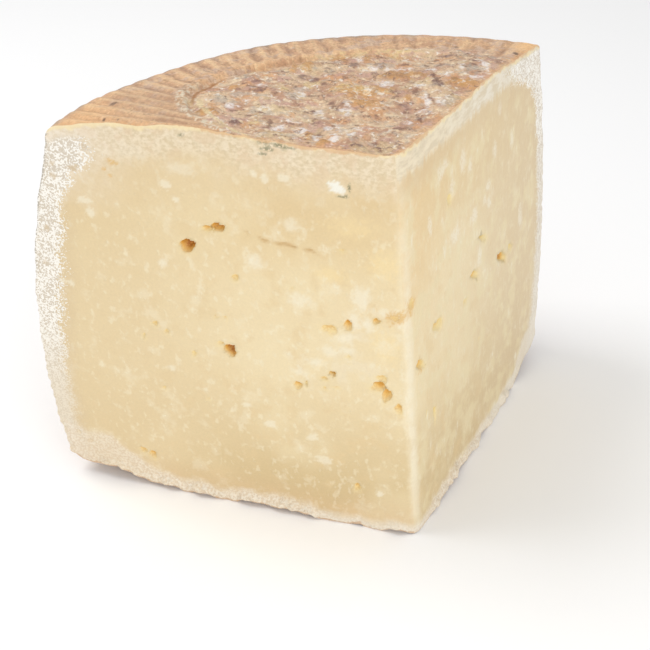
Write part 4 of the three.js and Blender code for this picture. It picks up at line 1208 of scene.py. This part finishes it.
def crust_finish():
    """Tan fluted collar with mauve grooves, and a flaky middle of beige, ochre, mauve and lilac-white."""
    p = Paint("cheese_crust_finish", 0.62)
    middle_mark, inside, past, lifted = (p.mark(n) for n in ("middle", "inside", "past", "lifted"))
    fluted, to_cut, radius, turn = (p.mark(n) for n in ("fluted", "to_cut", "radius", "turn"))
    ochre, yellow, mauve, grey_spot = (p.mark(n) for n in ("ochre", "yellow", "mauve", "grey"))
    lilac, dots, flake, flake_gap = (p.mark(n) for n in ("lilac", "dots", "flake", "flake_gap"))
    top, under = p.mark("top"), p.mark("under")
    # How strongly the grooves are darkened, their own mauve-brown and painted shade, less towards the left
    # cut
    groove_tone_and_shade = 0.9 - turn.smooth(138, 152) * 0.45
    fading = past.smooth(4.0, 8.0) * turn.smooth(88, 112)
    along_flutes = p.node("ShaderNodeCombineXYZ", {}, {0: p.mark("round_mm"), 1: p.mark("down_mm")})
    blotch, fine = p.noise(9, 2.0, detail=5, rough=0.6), p.noise(0.9, 3.0, detail=3, rough=0.6)
    streak = p.noise(1.8, 1.0, detail=4, rough=0.55, stretch=(1, 5, 1), place=along_flutes)
    speck = p.noise(1.8, 10.0, detail=4, rough=0.6)

    collar = p.blend(shade(200, 156, 120), shade(218, 176, 134), blotch.smooth(0.4, 0.6))
    collar = p.layers(collar, [
        ((202, 176, 156), p.noise(6, 22.0, detail=2).smooth(0.5, 0.64) * 0.7),
        ((234, 198, 152), streak.smooth(0.53, 0.66) * 0.6),
        ((168, 128, 94), streak.smooth(0.46, 0.34) * 0.6),
        # Painted highlight on the ribs, and mauve-brown grooves deepened by painted shade
        ((238, 204, 158), fluted.smooth(0.12, 0.0) * fading * 0.45),
        ((152, 116, 92), fluted.smooth(0.2, 0.85) * (streak * -2.4 + 1.9).clamped() * groove_tone_and_shade),
        ((238, 208, 164), speck.smooth(0.57, 0.67) * 0.45),
        ((146, 110, 78), speck.smooth(0.42, 0.33) * 0.45),
        ((182, 148, 118), turn.smooth(138, 154) * past.smooth(34, 18) * 0.4),
        ((228, 180, 126), turn.smooth(146, 162) * past.smooth(16, 34) * 0.45),
        ((242, 196, 138), turn.smooth(68, 64) * radius.smooth(84, 95) * 0.75)])
    edge_tone = p.blend(shade(148, 136, 124), shade(204, 160, 132), blotch.smooth(0.44, 0.6))
    collar = p.blend(collar, edge_tone, radius.smooth(96.5, 100) * turn.smooth(68, 78) * top * 0.65)
    flank = p.blend(shade(178, 146, 114), shade(204, 168, 130), blotch.smooth(0.36, 0.64))
    flank = p.layers(flank, [
        ((188, 168, 138), p.noise(22, 26.0, detail=4, rough=0.6).smooth(0.5, 0.68) * 0.6),
        # Painted shade where the weave and roughness sink, painted highlight where they stand out
        ((144, 112, 84), lifted.smooth(0.0, -0.24) * 0.55),
        ((226, 194, 150), lifted.smooth(0.04, 0.26) * 0.5),
        ((136, 106, 82), speck.smooth(0.42, 0.33) * 0.4),
        ((226, 206, 176), p.noise(2.6, 27.0, detail=4).smooth(0.58, 0.7) * 0.5)])
    rings = (radius * (2 * math.pi / 3.4)).math("SINE") * under * p.noise(14, 28.0).smooth(0.36, 0.56)
    flank = p.blend(flank, shade(150, 118, 90), rings.smooth(0.1, -0.8) * under * 0.45)
    collar = p.blend(flank, collar, top)

    body, flecked = p.noise(8, 4.0, detail=3), p.noise(11, 8.0, detail=3)
    middle = p.blend(shade(192, 150, 122), shade(218, 188, 154), body.smooth(0.4, 0.6))
    warm = p.noise(9, 5.0, detail=3)
    middle = p.layers(middle, [
        ((218, 162, 112), warm.smooth(0.52, 0.64) * 0.6),
        ((212, 190, 146), warm.smooth(0.46, 0.36) * 0.5)])
    grey = p.noise(6, 23.0, detail=3)
    middle = p.layers(middle, [
        ((194, 182, 168), grey.smooth(0.54, 0.66) * 0.6),
        ((200, 162, 148), grey.smooth(0.48, 0.36) * 0.65)])
    uneven = p.noise(2.4, 24.0, detail=4, rough=0.6)
    middle = p.layers(middle, [
        ((212, 160, 98), ochre * uneven.smooth(0.78, 0.5) * 0.85),
        ((222, 198, 142), yellow * uneven.smooth(0.36, 0.56) * 0.7),
        ((164, 156, 142), grey_spot * uneven.smooth(0.62, 0.4) * 0.75)])
    dark = p.noise(2.6, 6.0, detail=5, rough=0.6) + (flecked - 0.5) * 0.3 + mauve * 0.06 - ochre * 0.05
    middle = p.blend(middle, shade(136, 102, 84), dark.smooth(0.55, 0.67) * 0.8)
    pale = p.noise(2.2, 20.0, detail=4, rough=0.6) - (flecked - 0.5) * 0.2
    pale = pale + (flake - 0.5) * 0.05 - ochre * 0.04
    middle = p.blend(middle, shade(238, 216, 182), pale.smooth(0.54, 0.65) * 0.7)
    white = p.noise(2.0, 7.0, detail=4, rough=0.6) - (flecked - 0.5) * 0.2
    middle = p.layers(middle, [
        ((240, 230, 216), white.smooth(0.58, 0.68) * 0.8),
        # Painted shadow in the gaps between flakes, painted highlight on raised flakes, painted shade in
        # low ones
        ((118, 88, 68), flake_gap.smooth(0.08, 0.0) * speck.smooth(0.44, 0.56) * 0.4),
        ((238, 218, 186), lifted.smooth(0.2, 0.8) * 0.4),
        ((140, 106, 82), lifted.smooth(-0.3, -0.9) * 0.5),
        ((126, 96, 90), mauve * uneven.smooth(0.62, 0.44) * 0.75),
        ((240, 234, 230), lilac * speck.smooth(0.4, 0.56) * 0.75)])

    color = p.blend(collar, middle, middle_mark)
    crescent = turn.smooth(132, 138) * turn.smooth(154, 148) * top
    # The crease's orange-brown line, darkened further as painted shade in the groove
    crease_tone_and_shade = past.smooth(-3.2, -2.0) * past.smooth(-0.4, -1.6)
    color = p.blend(color, shade(168, 118, 70), crease_tone_and_shade * crescent * 0.9)
    lip = past.smooth(-6.0, -4.6) * past.smooth(-2.6, -3.6) * turn.smooth(147, 152) * top
    color = p.blend(color, shade(228, 208, 164), lip * speck.smooth(0.3, 0.5) * 0.75)
    ring = past.smooth(-0.6, 0.6) * past.smooth(5.0, 3.4) * turn.smooth(138, 146) * top
    color = p.layers(color, [
        ((222, 212, 188), ring * speck.smooth(0.46, 0.58) * 0.75),
        ((158, 140, 116), ring * speck.smooth(0.46, 0.38) * 0.5)])
    shifted = past + (blotch - 0.5) * 12
    crest = shifted.smooth(-3.5, -1.5) * shifted.smooth(3.0, 1.0)
    crest = crest * turn.smooth(114, 106) * turn.smooth(80, 92) * top
    color = p.blend(color, shade(224, 196, 142), crest * uneven.smooth(0.42, 0.58) * 0.6)
    border = (to_cut + (speck - 0.5) * 8).smooth(2.2, 0.6) * (blotch * 1.4) * (top * 0.7 + 0.3)
    color = p.layers(color, [
        ((222, 172, 120), border.clamped() * 0.65),
        ((96, 72, 54), dots * 0.8)])
    # Painted shade and highlight: the fine noise that raises the bump also darkens its low places
    color = p.tint(color, fine * 0.8 + 0.61)
    bump = p.noise(1.5, 9.0, detail=5, rough=0.62) * (inside * 0.5 + 0.5) + fine * 0.35 + rings * 0.12
    return p.finish(color, bump, 0.9)


# The camera, light and floor
def make_camera():
    """A camera on the axes of camera_axes(), with the photograph's field of view."""
    right, up, forward = camera_axes()
    data = bpy.data.cameras.new("camera")
    data.sensor_width, data.lens = SENSOR, FOCAL_PIXELS / PHOTO_PIXELS * SENSOR
    data.clip_start, data.clip_end = 0.01, 10
    camera = bpy.data.objects.new("camera", data)
    turn = Matrix(np.stack([right, up, -forward], 1).tolist()).to_4x4()
    camera.matrix_world = Matrix.Translation((CAMERA_AT * MM).tolist()) @ turn
    bpy.context.scene.collection.objects.link(camera)
    bpy.context.scene.camera = camera


def make_light(name, place, target, size, power):
    """A soft square lamp that faces its target."""
    data = bpy.data.lights.new(name, "AREA")
    data.size, data.energy = size, power
    lamp = bpy.data.objects.new(name, data)
    lamp.location = place
    away = Vector(place) - Vector(target)
    lamp.rotation_euler = away.to_track_quat("Z", "Y").to_euler()
    bpy.context.scene.collection.objects.link(lamp)


paste, crust = make_cheese()
make_camera()
paste.data.materials.append(paste_finish())
crust.data.materials.append(crust_finish())
make_light("lamp_high", (-0.5, 0.1, 0.9), (0, 0, 0.05), 0.5, 4.0)
make_light("lamp_front", (0.45, -0.95, 0.45), (0, 0, 0.06), 0.6, 3.2)
world = bpy.data.worlds.new("studio")
bpy.context.scene.world = world
world.use_nodes = True
world.node_tree.nodes["Background"].inputs["Color"].default_value = (1, 1, 1, 1)
world.node_tree.nodes["Background"].inputs["Strength"].default_value = 0.69
bpy.ops.mesh.primitive_plane_add(size=4)
floor = bpy.context.object
floor.name = "floor"
floor_finish = Paint("floor_finish", 0.8)
floor_finish.surface.inputs["Base Color"].default_value = (0.98, 0.98, 0.98, 1)
floor.data.materials.append(floor_finish.material)
bpy.context.scene.view_settings.view_transform = "Standard"
